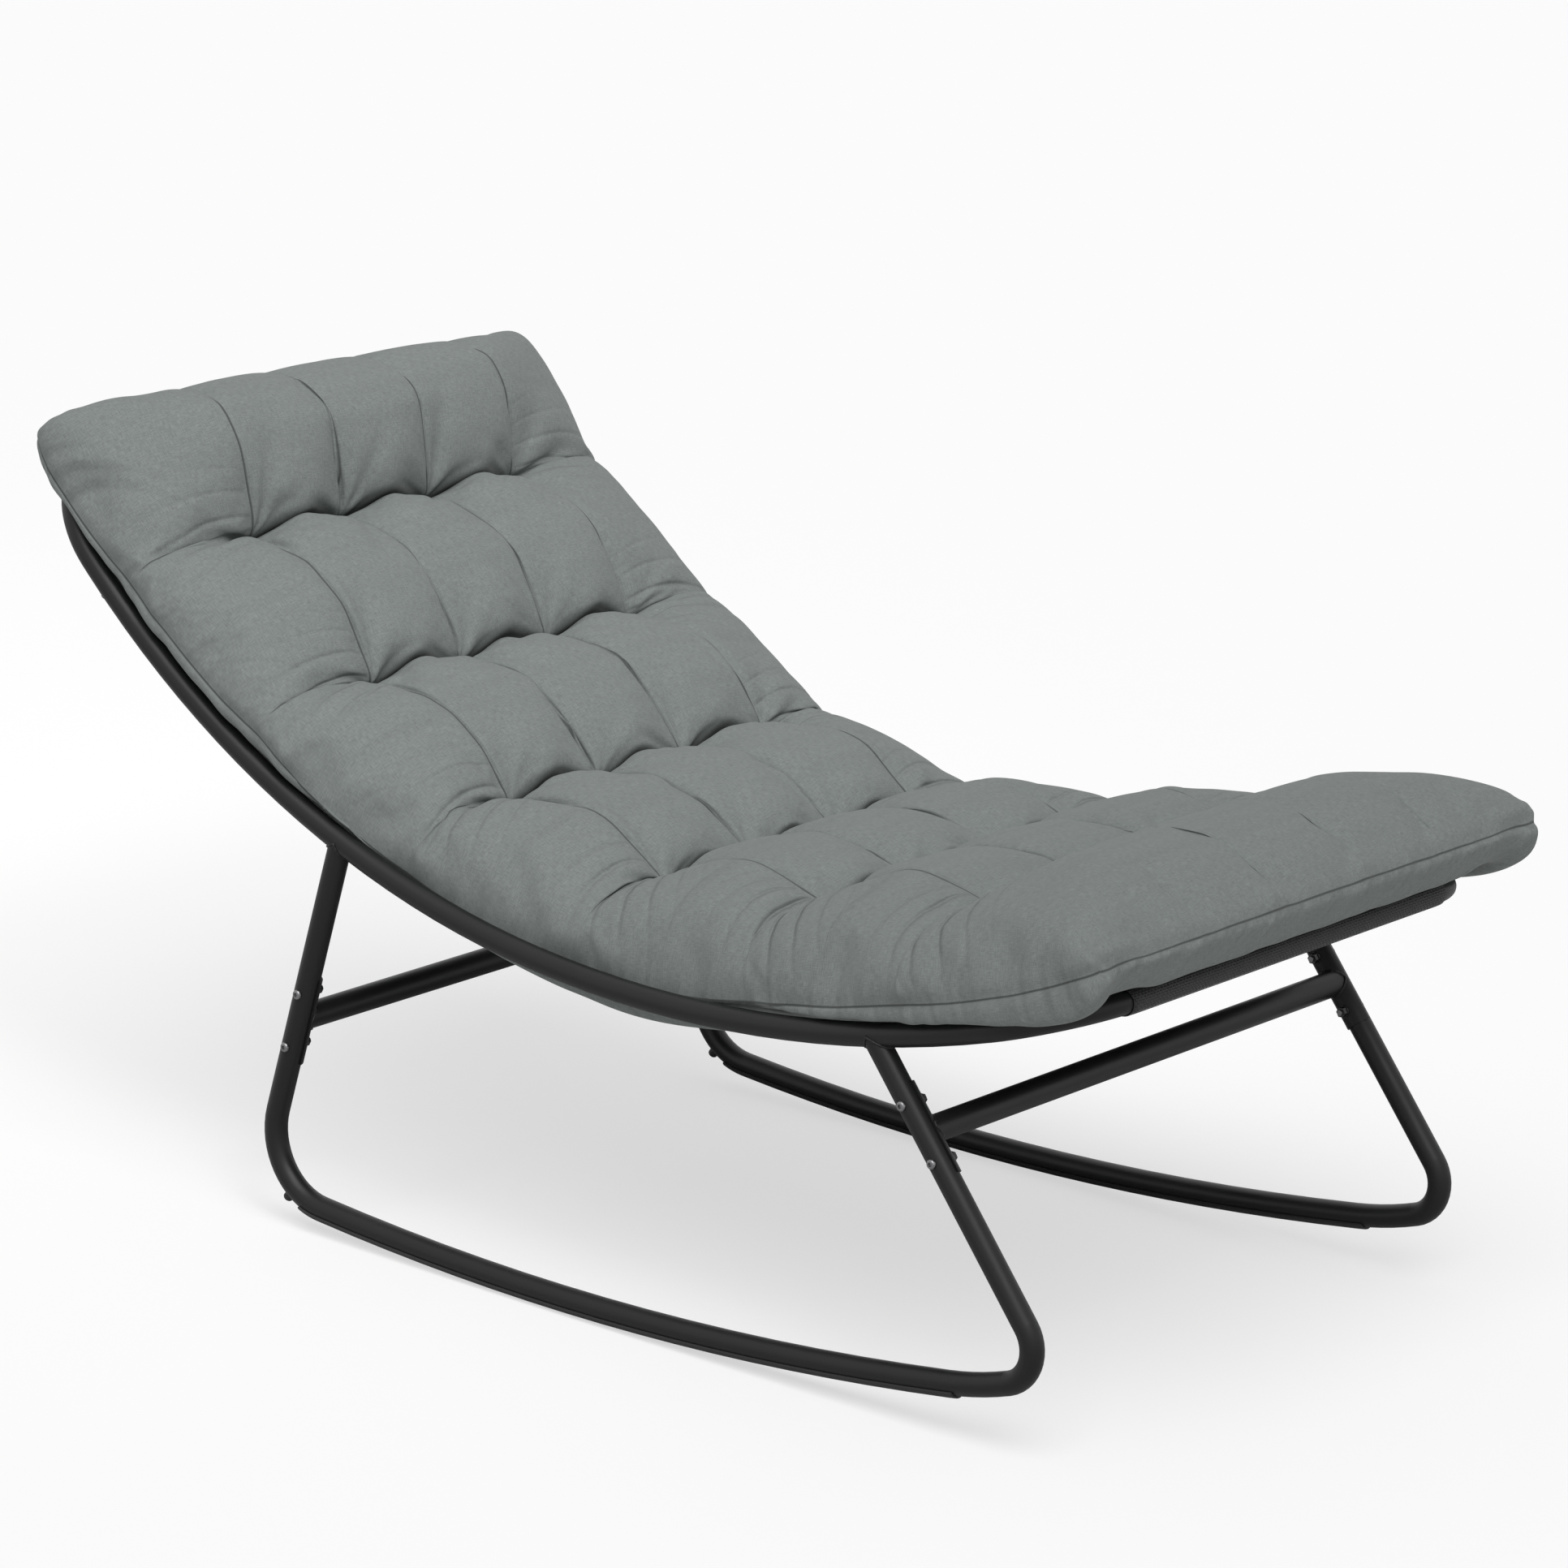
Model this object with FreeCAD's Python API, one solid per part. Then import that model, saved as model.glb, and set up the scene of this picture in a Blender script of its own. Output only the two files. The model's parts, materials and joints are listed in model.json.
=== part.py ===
import FreeCAD, Part
import math
import os

# A rocking lounger: two bent tube side frames on flat curved runners, joined by bolted
# cross bars, with a mesh sling hung between the end rails and one long tufted cushion.
# Millimetres. X is the width, the foot end is towards -Y, the head end towards +Y, Z is up.
# The origin is where the runners touch the floor, midway between them.
# Left and right are the sitter's: left is +X.
# The side view is drawn upright, then leaned back about the runners' centre of curvature.

Vector = FreeCAD.Vector

# Tubes
tube_d = 25.0
tube_wall = 1.2
bar_d = 28.0
bar_wall = 1.2
rail_spacing = 697.0
rest_lean = 2.18

# Rockers: runner, toe, bends and the lean of both legs from upright
runner_radius = 3579.0
toe_start = 392.0
toe_radius = 400.0
front_bend_radius = 40.0
rear_bend_radius = 75.0
front_leg_y = -297.0
front_leg_lean = 36.3
rear_leg_y = 414.0
rear_leg_lean = 17.6

# Rubber strips under the runners and the stops behind them
strip_thickness = 2.3
strip_wrap = 120.0
strip_on_toe = 12.0
strip_on_bend = 22.0
glue_gap = 0.05
stop_along_bend = 42.0
stop_d = 11.0
stop_height = 8.0
stop_round = 3.0
stop_stem_d = 6.0
stop_stem_length = 7.0

# Side rails, seen from the side: a seat arc that runs on into a tighter back arc
rail_low_y = -70.0
rail_low_z = 355.0
seat_radius = 1400.0
back_radius = 1094.0
seat_front_angle = 15.4
seat_back_angle = 8.8
back_top_angle = 46.5
front_corner_radius = 100.0
top_corner_radius = 130.0

# Slip joints of the top and front rails
spigot_length = 40.0
spigot_gap = 0.05
top_joint_inset = 18.0
front_joint_inset = 24.0
front_spigot_length = 22.0
joint_screw_d = 4.2
joint_screw_head_d = 8.5
joint_screw_head_h = 2.6
joint_screw_length = 9.0
joint_screw_inset = 20.0

# Cross bars on saddles, bolted through the legs
front_bar_drop = 108.0
rear_bar_drop = 213.0
saddle_length = 100.0
saddle_thickness = 2.0
saddle_gap = 0.05
saddle_edge = 1.5
bolt_spacing = 64.0
bolt_d = 6.0
bolt_hole_gap = 0.25
bolt_head_d = 10.5
bolt_head_h = 3.3
bolt_head_round = 2.4
bolt_socket = 4.0
bolt_socket_depth = 2.0
bolt_tail = 2.5
washer_d = 12.5
washer_thickness = 1.4
nut_across_flats = 10.0
nut_height = 5.0
thread_gap = 0.05

# Mesh sling
sling_sag = 275.0
sling_thickness = 1.6
sleeve_gap = 0.1
sleeve_on_bend = 16.0
sling_top_inset = 3.0

# Cushion, measured along the side rails' line and square to it
cushion_overhang = 32.5
cushion_front_overhang = 70.7
cushion_top_overhang = 10.0
front_end_length = 85.0
head_end_length = 70.0
head_end_power = 3.0
end_under_length = 60.0
cushion_end_thickness = 10.0
cushion_corner = 12.0
cushion_skin = 4.0
cushion_clear = 0.7
hollow_start = 36.0
edge_inset_factor = 3.0
front_close_height = 37.0
head_close_height = 68.0
seam_draw_in = 7.0
tuft_columns = 4
front_puff = 257.0
head_puff = 200.0
tuft_column_pitch = 139.0
tuft_heights = (99.0, 93.0, 72.0, 74.0, 81.0, 83.0)
crown_rises = (27.0, 29.0, 27.0, 31.0, 37.0, 43.0, 51.0)
saddle_share = 0.42
channel_share = 0.8
outer_share = 0.8
edge_roundness = 0.9
puff_power = 0.8
edge_heights = ((-547.0, 37.0), (-400.0, 34.0), (-220.0, 28.0), (0.0, 21.5), (300.0, 20.5),
                (620.0, 23.0), (900.0, 27.0), (1054.0, 34.0))
edge_halves = ((-450.0, 382.0), (-250.0, 373.0), (100.0, 366.0), (500.0, 368.0),
               (950.0, 379.0), (1054.0, 381.0))
belly_halves = ((-250.0, 245.0), (50.0, 255.0), (150.0, 290.0))
belly_inset = 5.0
belly_height = 10.5
belly_bulge = 7.0
front_hang = 16.0
front_hang_inset = 30.0
front_hang_width = 20.0
rail_clear = 3.0

across = Vector(1, 0, 0)
tube_r = tube_d / 2
tube_bore_r = tube_r - tube_wall
rail_x = rail_spacing / 2
runner_tube_radius = runner_radius - strip_thickness - glue_gap - tube_r
runner_centre = (0.0, runner_radius)
SIDES = (1, -1)


def polar(centre, radius, angle):
    """Point of the side view at an angle from straight down, positive towards the back."""
    return (centre[0] + radius * math.sin(angle), centre[1] - radius * math.cos(angle))


def angle_from_down(centre, point):
    return math.atan2(point[0] - centre[0], centre[1] - point[1])


def at(x, point):
    """Side view point put at a place across the width."""
    return Vector(x, point[0], point[1])


def line(start, end):
    return Part.LineSegment(start, end).toShape()


def arc(start, middle, end):
    return Part.Arc(start, middle, end).toShape()


def side_arc(x, centre, radius, start_angle, end_angle):
    middle_angle = (start_angle + end_angle) / 2
    points = [at(x, polar(centre, radius, a)) for a in (start_angle, middle_angle, end_angle)]
    return arc(*points)


def corner_arc(centre, from_arm, to_arm, turn=math.pi / 2):
    """Arc about a centre, from one arm vector towards a second arm square to it."""
    points = [centre + from_arm * math.cos(t) + to_arm * math.sin(t) for t in (0.0, turn / 2, turn)]
    return arc(*points)


def rod(edges, radius):
    """Solid round bar along a smooth chain of edges."""
    path = Part.Wire(edges)
    first = path.OrderedEdges[0]
    start = first.valueAt(first.FirstParameter)
    tangent = first.tangentAt(first.FirstParameter)
    profile = Part.Wire([Part.makeCircle(radius, start, tangent)])
    return path.makePipeShell([profile], True, False)


def tube(edges, diameter, wall):
    return rod(edges, diameter / 2).cut(rod(edges, diameter / 2 - wall))


def cylinder(radius, start, direction, length):
    return Part.makeCylinder(radius, length, start, direction)


def mirrored(shape):
    """The same piece on the other side of the chair."""
    return shape.mirror(Vector(0, 0, 0), across)


def rounded_end(radius, start, direction, length, round_off):
    """Cylinder with its far rim rounded."""
    body = cylinder(radius, start, direction, length)
    tip = start + direction * length
    rim = [e for e in body.Edges if (e.BoundBox.Center - tip).Length < tube_wall / 100]
    return body.makeFillet(round_off, rim)


# Side rail line: places are lengths along it from its lowest point, heights are square to it

seat_centre = (rail_low_y, rail_low_z + seat_radius)
front_angle = -math.radians(seat_front_angle)
change_angle = math.radians(seat_back_angle)
top_angle = math.radians(back_top_angle)
back_centre = polar(seat_centre, seat_radius - back_radius, change_angle)
change_place = seat_radius * change_angle
front_corner_place = seat_radius * front_angle
top_corner_place = change_place + back_radius * (top_angle - change_angle)


def rail_angle(place):
    if place < change_place:
        return place / seat_radius
    return change_angle + (place - change_place) / back_radius


def rail_point(place, height=0.0):
    angle = rail_angle(place)
    if place < change_place:
        return polar(seat_centre, seat_radius - height, angle)
    return polar(back_centre, back_radius - height, angle)


def rail_tangent(place):
    angle = rail_angle(place)
    return Vector(0, math.cos(angle), math.sin(angle))


def rail_normal(place):
    """Direction square to the rail line, towards the sitter."""
    angle = rail_angle(place)
    return Vector(0, -math.sin(angle), math.cos(angle))


def rail_run(x, start_place, end_place):
    """Arc edges along the side rail line, split where the seat arc meets the back arc."""
    start_angle = rail_angle(start_place)
    end_angle = rail_angle(end_place)
    if end_place <= change_place:
        return [side_arc(x, seat_centre, seat_radius, start_angle, end_angle)]
    if start_place >= change_place:
        return [side_arc(x, back_centre, back_radius, start_angle, end_angle)]
    seat = side_arc(x, seat_centre, seat_radius, start_angle, change_angle)
    back = side_arc(x, back_centre, back_radius, change_angle, end_angle)
    return [seat, back]


def rail_crossing(y):
    """Point of the side rail line at a given Y."""
    place = seat_radius * math.asin((y - seat_centre[0]) / seat_radius)
    if place > change_place:
        angle = math.asin((y - back_centre[0]) / back_radius)
        place = change_place + back_radius * (angle - change_angle)
    return rail_point(place)


front_tangent = rail_tangent(front_corner_place) * -1
top_tangent = rail_tangent(top_corner_place)
front_rail_centre = at(0, rail_point(front_corner_place)) + front_tangent * front_corner_radius
top_rail_centre = at(0, rail_point(top_corner_place)) + top_tangent * top_corner_radius
front_straight = rail_x - front_corner_radius
top_straight = rail_x - top_corner_radius
front_joint_x = front_straight - front_joint_inset
top_joint_place = top_corner_place - top_joint_inset


def front_corner_centre(side):
    corner = at(0, rail_point(front_corner_place))
    return corner + across * (side * front_straight)


def front_corner(side, turn=math.pi / 2):
    """Bend from the front rail round to the side rail, as far as the given turn."""
    out = across * (side * front_corner_radius)
    return corner_arc(front_corner_centre(side), front_tangent * front_corner_radius, out, turn)


def top_corner(side):
    corner = at(0, rail_point(top_corner_place)) + across * (side * top_straight)
    out = across * (side * top_corner_radius)
    return corner_arc(corner, out, top_tangent * top_corner_radius)


# Rocker line: front leg, front bend, toe, runner, rear bend and rear leg


def leg_direction(lean, towards_back):
    """Upward direction of a leg in the side view."""
    angle = math.radians(lean)
    return (math.sin(angle) * towards_back, math.cos(angle))


def bend_centre(foot, direction, inward, bend_radius, circle_centre, circle_radius):
    """Centre of a bend that touches a leg line and the inside of a circle."""
    start = (foot[0] + inward[0] * bend_radius, foot[1] + inward[1] * bend_radius)
    offset = (start[0] - circle_centre[0], start[1] - circle_centre[1])
    half = offset[0] * direction[0] + offset[1] * direction[1]
    rest = offset[0] ** 2 + offset[1] ** 2 - (circle_radius - bend_radius) ** 2
    travel = -half - math.sqrt(half ** 2 - rest)
    return (start[0] + direction[0] * travel, start[1] + direction[1] * travel)


def step(point, direction, length):
    return (point[0] + direction[0] * length, point[1] + direction[1] * length)


front_leg_top = rail_crossing(front_leg_y)
rear_leg_top = rail_crossing(rear_leg_y)
front_leg_up = leg_direction(front_leg_lean, 1)
rear_leg_up = leg_direction(rear_leg_lean, -1)
front_leg_inward = (front_leg_up[1], -front_leg_up[0])
rear_leg_inward = (-rear_leg_up[1], rear_leg_up[0])
toe_angle = -math.asin(toe_start / runner_tube_radius)
toe_centre = polar(runner_centre, runner_tube_radius - toe_radius, toe_angle)
front_bend = bend_centre(
    front_leg_top, front_leg_up, front_leg_inward, front_bend_radius, toe_centre, toe_radius
)
rear_bend = bend_centre(
    rear_leg_top, rear_leg_up, rear_leg_inward, rear_bend_radius, runner_centre, runner_tube_radius
)
toe_end_angle = angle_from_down(toe_centre, front_bend)
runner_end_angle = angle_from_down(runner_centre, rear_bend)
front_leg_angle = math.atan2(-front_leg_inward[0], front_leg_inward[1])
rear_leg_angle = math.atan2(-rear_leg_inward[0], rear_leg_inward[1])


def rocker_edges(x):
    front_leg_foot = polar(front_bend, front_bend_radius, front_leg_angle)
    rear_leg_foot = polar(rear_bend, rear_bend_radius, rear_leg_angle)
    return [
        line(at(x, front_leg_top), at(x, front_leg_foot)),
        side_arc(x, front_bend, front_bend_radius, front_leg_angle, toe_end_angle),
        side_arc(x, toe_centre, toe_radius, toe_end_angle, toe_angle),
        side_arc(x, runner_centre, runner_tube_radius, toe_angle, runner_end_angle),
        side_arc(x, rear_bend, rear_bend_radius, runner_end_angle, rear_leg_angle),
        line(at(x, rear_leg_foot), at(x, rear_leg_top)),
    ]


# Bolted joints: a saddle on each leg, drawn on the left side


class LegJoint:
    """Where a cross bar meets the left leg: the bar's axis, the leg's line and the bolts."""

    def __init__(self, leg_top, leg_up, drop):
        self.up = Vector(0, leg_up[0], leg_up[1])
        self.centre = at(rail_x, step(leg_top, leg_up, -drop))
        self.bolts = [self.centre + self.up * (k * bolt_spacing / 2) for k in (-1, 1)]

    def along_leg(self, radius, length):
        return cylinder(radius, self.centre - self.up * (length / 2), self.up, length)


saddle_inner_r = tube_r + saddle_gap
saddle_outer_r = saddle_inner_r + saddle_thickness
nut_seat = saddle_outer_r + washer_thickness
bolt_length = tube_r + nut_seat + nut_height + bolt_tail
inward = across * -1
JOINTS = {
    "front": LegJoint(front_leg_top, front_leg_up, front_bar_drop),
    "rear": LegJoint(rear_leg_top, rear_leg_up, rear_bar_drop),
}


def bolt_holes(joint):
    reach = across * bolt_length
    radius = bolt_d / 2 + bolt_hole_gap
    return [cylinder(radius, p - reach, across, 2 * bolt_length) for p in joint.bolts]


def hexagon(centre, axis, across_flats, length):
    """Hexagonal prism along an axis that lies across the width."""
    corner_r = across_flats / math.sqrt(3)
    angles = [math.radians(60 * k) for k in range(7)]
    points = [centre + Vector(0, corner_r * math.cos(a), corner_r * math.sin(a)) for a in angles]
    return Part.Face(Part.makePolygon(points)).extrude(axis * length)


def make_saddle(joint):
    """Curved plate on the inner half of a leg, with two bolt holes."""
    shell = joint.along_leg(saddle_outer_r, saddle_length)
    shell = shell.cut(joint.along_leg(saddle_inner_r, saddle_length))
    size = 2 * saddle_length
    corner = joint.centre - Vector(saddle_edge + size, size / 2, size / 2)
    return shell.common(Part.makeBox(size, size, size, corner)).cut(bolt_holes(joint))


def make_bolt(point):
    """Button head outside the leg, shank through leg, saddle, washer and nut."""
    seat = point + across * tube_r
    head = rounded_end(bolt_head_d / 2, seat, across, bolt_head_h, bolt_head_round)
    socket = seat + across * (bolt_head_h - bolt_socket_depth)
    head = head.cut(hexagon(socket, across, bolt_socket, bolt_head_h))
    return head.fuse(cylinder(bolt_d / 2, seat, inward, bolt_length))


def make_washer(point):
    seat = point + inward * saddle_outer_r
    ring = cylinder(washer_d / 2, seat, inward, washer_thickness)
    return ring.cut(cylinder(bolt_d / 2 + bolt_hole_gap, seat, inward, washer_thickness))


def make_nut(point):
    seat = point + inward * nut_seat
    body = hexagon(seat, inward, nut_across_flats, nut_height)
    return body.cut(cylinder(bolt_d / 2 + thread_gap, seat, inward, nut_height))


def make_cross_bar(joint):
    bar = tube([line(joint.centre, joint.centre - across * rail_spacing)], bar_d, bar_wall)
    saddle = joint.along_leg(saddle_outer_r, saddle_length)
    return bar.cut(saddle).cut(mirrored(saddle))


# Frame pieces, the paired ones drawn on the left side


def screw_axis():
    """Start at the rail's centre line, pointing out of its underside."""
    place = top_joint_place - joint_screw_inset
    return at(rail_x, rail_point(place)), rail_normal(place) * -1


def screw_hole():
    start, outward = screw_axis()
    return cylinder(joint_screw_d / 2 + spigot_gap, start, outward, tube_d)


def make_side_rail():
    joint = front_rail_centre + across * front_joint_x
    stub = line(joint, front_rail_centre + across * front_straight)
    run = rail_run(rail_x, front_corner_place, top_joint_place)
    return tube([stub, front_corner(1)] + run, tube_d, tube_wall).cut(screw_hole())


def make_top_rail():
    """Bow of the head end, with reduced ends that slip into the side rails."""
    bow_ends = [rail_run(s * rail_x, top_joint_place, top_corner_place) for s in SIDES]
    straight = line(top_rail_centre - across * top_straight, top_rail_centre + across * top_straight)
    bow_path = bow_ends[0] + [top_corner(1), straight, top_corner(-1)] + bow_ends[1]
    bow = tube(bow_path, tube_d, tube_wall)
    spigot = tube(
        rail_run(rail_x, top_joint_place - spigot_length, top_corner_place),
        2 * (tube_bore_r - spigot_gap), tube_wall,
    )
    collar = tube(bow_ends[0], tube_d, tube_wall + 2 * spigot_gap)
    end = spigot.fuse(collar).cut(screw_hole())
    return bow.fuse([end, mirrored(end)])


def make_front_rail():
    """Straight tube under the sling's sleeve, with reduced ends inside the side rails."""
    end = front_rail_centre + across * front_joint_x
    reach = across * front_spigot_length
    rail = tube([line(end, end - across * (2 * front_joint_x))], tube_d, tube_wall + 2 * spigot_gap)
    spigot = tube([line(end + reach, end - reach)], 2 * (tube_bore_r - spigot_gap), tube_wall)
    return rail.fuse([spigot, mirrored(spigot)])


def stop_axis():
    """Point on the rear bend's centre line and the way the stop points out of it."""
    angle = runner_end_angle + stop_along_bend / rear_bend_radius
    outward = Vector(0, math.sin(angle), -math.cos(angle))
    return at(rail_x, polar(rear_bend, rear_bend_radius, angle)), outward


def make_rocker():
    """Front leg, runner and rear leg in one tube, both ends shaped to the side rail."""
    body = tube(rocker_edges(rail_x), tube_d, tube_wall)
    body = body.cut(rod(rail_run(rail_x, front_corner_place, top_joint_place), tube_r))
    for joint in JOINTS.values():
        body = body.cut(bolt_holes(joint))
    start, outward = stop_axis()
    return body.cut(cylinder(stop_stem_d / 2 + glue_gap, start, outward, tube_d))


def make_stop():
    """Rubber button on the rear bend, with a stem pressed into the tube."""
    start, outward = stop_axis()
    bend = side_arc(rail_x, rear_bend, rear_bend_radius, runner_end_angle, rear_leg_angle)
    head = rounded_end(stop_d / 2, start, outward, tube_r + stop_height, stop_round)
    stem = cylinder(stop_stem_d / 2, start + outward * (tube_r - stop_stem_length), outward, stop_stem_length)
    return head.cut(rod([bend], tube_r + glue_gap)).fuse(stem)


def make_strip():
    """Rubber band round the underside of the runner."""
    front = toe_angle - strip_on_toe / toe_radius
    rear = runner_end_angle + strip_on_bend / rear_bend_radius
    path = Part.Wire([
        side_arc(rail_x, toe_centre, toe_radius, front, toe_angle),
        side_arc(rail_x, runner_centre, runner_tube_radius, toe_angle, runner_end_angle),
        side_arc(rail_x, rear_bend, rear_bend_radius, runner_end_angle, rear),
    ])
    start = at(rail_x, polar(toe_centre, toe_radius, front))
    down = Vector(0, math.sin(front), -math.cos(front))
    inner_r = tube_r + glue_gap
    outer_r = inner_r + strip_thickness
    half = math.radians(strip_wrap) / 2

    def rim(radius, angle):
        return start + down * (radius * math.cos(angle)) + across * (radius * math.sin(angle))

    profile = Part.Wire([
        arc(rim(inner_r, -half), rim(inner_r, 0), rim(inner_r, half)),
        line(rim(inner_r, half), rim(outer_r, half)),
        arc(rim(outer_r, half), rim(outer_r, 0), rim(outer_r, -half)),
        line(rim(outer_r, -half), rim(inner_r, -half)),
    ])
    return path.makePipeShell([profile], True, False)


def make_joint_screw():
    start, outward = screw_axis()
    seat = start + outward * tube_r
    head_round = joint_screw_head_h / 2
    head = rounded_end(joint_screw_head_d / 2, seat, outward, joint_screw_head_h, head_round)
    return head.fuse(cylinder(joint_screw_d / 2, seat, outward * -1, joint_screw_length))


# Sling: an arc between the two end rails

chord = top_rail_centre - front_rail_centre
sling_radius = ((chord.Length / 2) ** 2 + sling_sag ** 2) / (2 * sling_sag)
chord_normal = chord.cross(across).normalize() * -1
sling_middle = (front_rail_centre + top_rail_centre) / 2
sling_up = sling_middle + chord_normal * (sling_radius - sling_sag)
sling_centre = (sling_up.y, sling_up.z)


def front_sleeve_path(turn):
    """Front rail's line with a little of the bend at both ends."""
    reach = across * front_straight
    straight = line(front_rail_centre - reach, front_rail_centre + reach)
    return [front_corner(-1, turn), straight, front_corner(1, turn)]


def top_sleeve_path(half):
    return [line(top_rail_centre - across * half, top_rail_centre + across * half)]


def make_sling():
    """Band with a sleeve at each end, drawn in from the front rail to the top rail."""
    turn = sleeve_on_bend / front_corner_radius
    top_half = top_straight - sling_top_inset
    front_half = front_straight + front_corner_radius * math.sin(turn)
    inner_d = tube_d + 2 * sleeve_gap
    outer_d = inner_d + 2 * sling_thickness
    sleeve_paths = (front_sleeve_path(turn), top_sleeve_path(top_half))
    sleeves = [tube(path, outer_d, sling_thickness) for path in sleeve_paths]
    start_angle = angle_from_down(sling_centre, (front_rail_centre.y, front_rail_centre.z))
    end_angle = angle_from_down(sling_centre, (top_rail_centre.y, top_rail_centre.z))
    half = sling_thickness / 2
    low = side_arc(-front_half, sling_centre, sling_radius + half, start_angle, end_angle)
    high = side_arc(-front_half, sling_centre, sling_radius - half, start_angle, end_angle)
    front_end = line(low.valueAt(low.FirstParameter), high.valueAt(high.FirstParameter))
    top_end = line(low.valueAt(low.LastParameter), high.valueAt(high.LastParameter))
    outline = Part.Wire(Part.__sortEdges__([low, top_end, high, front_end]))
    band = Part.Face(outline).extrude(across * (2 * front_half))
    corners = [
        Vector(-front_half, front_rail_centre.y, 0),
        Vector(front_half, front_rail_centre.y, 0),
        Vector(top_half, top_rail_centre.y, 0),
        Vector(-top_half, top_rail_centre.y, 0),
    ]
    plan = Part.Face(Part.makePolygon(corners + corners[:1]))
    band = band.common(plan.extrude(Vector(0, 0, 2 * runner_radius)))
    for path in (front_sleeve_path(2 * turn), top_sleeve_path(top_straight)):
        band = band.cut(rod(path, inner_d / 2))
    return band.fuse(sleeves).removeSplitter()


# Cushion: sections square to the side rail line, lofted between tuft rows

LOFT_DEGREE = 3
END_STEPS = 5
BAND_STEPS = 6
tuft_rows = len(tuft_heights)
cushion_front = front_corner_place - front_corner_radius - cushion_front_overhang
cushion_top = top_corner_place + top_corner_radius + cushion_top_overhang
first_row = cushion_front + front_puff
tuft_row_pitch = (cushion_top - head_puff - first_row) / (tuft_rows - 1)
columns = [(k - (tuft_columns - 1) / 2) * tuft_column_pitch for k in range(tuft_columns)]
rows = [first_row + k * tuft_row_pitch for k in range(tuft_rows)]
crown_places = [rows[0] + (k - 0.5) * tuft_row_pitch for k in range(tuft_rows + 1)]
belly_x = rail_x - tube_r - belly_inset
half_end = cushion_end_thickness / 2
least_bulge = half_end / 4


def share_of(value):
    return min(max(value, 0.0), 1.0)


def end_round(share, power=2.0):
    """Rise of the cushion's ends: 0 at the end seam, 1 where the full depth is reached."""
    return (1 - (1 - share_of(share)) ** power) ** (1 / power)


def ease(share):
    share = share_of(share)
    return share * share * (3 - 2 * share)


def between(place, knots):
    """Height or width at a place, straight between knots and level beyond the outermost two."""
    if place <= knots[0][0]:
        return knots[0][1]
    for (start, first), (end, last) in zip(knots, knots[1:]):
        if place <= end:
            return first + (last - first) * (place - start) / (end - start)
    return knots[-1][1]


def sling_height(place):
    """Height of the sling's upper face over the rail line, square to that line."""
    base = at(0, rail_point(place))
    up = rail_normal(place)
    offset = base - at(0, sling_centre)
    radius = sling_radius - sling_thickness / 2 - cushion_clear
    half = offset.dot(up)
    return -half - math.sqrt(half ** 2 - offset.dot(offset) + radius ** 2)


def lift(place):
    """0 where the underside lies on the sling, 1 where it is raised over an end rail."""
    front_start = rows[0] + tuft_row_pitch / 2
    top_start = rows[-1] - tuft_row_pitch / 2
    front = ease((front_start - place) / (front_start - front_corner_place))
    top = ease((place - top_start) / (top_corner_place - top_start))
    return max(front, top)


def underside(place):
    """On the sling, raised over the end rails, hanging down again in front of the front rail."""
    on_sling = sling_height(place)
    hang = math.exp(-((place - cushion_front - front_hang_inset) / front_hang_width) ** 2)
    return on_sling + (tube_r + rail_clear - on_sling) * lift(place) - front_hang * hang


def puff_at(place):
    """Rise of a puff along the cushion: 0 on a tuft row, 1 midway between two rows or out towards an end."""
    share = share_of(2 * min(abs(place - row) for row in rows) / tuft_row_pitch)
    return end_round(share) ** (2 * puff_power)


class EndShape:
    """How far the top and the underside have closed towards the end seam at a place."""

    def __init__(self, place):
        at_head = place > rows[-1]
        distance = cushion_top - place if at_head else place - cushion_front
        self.height = head_close_height if at_head else front_close_height
        if at_head:
            self.full = end_round(distance / head_end_length, head_end_power)
        else:
            self.full = end_round(distance / front_end_length)
        self.full_under = end_round(distance / end_under_length)

    def raised(self, height):
        base = self.height + half_end
        return base + (height - base) * self.full

    def lowered(self, height):
        base = self.height - half_end
        return base + (height - base) * self.full_under


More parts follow.
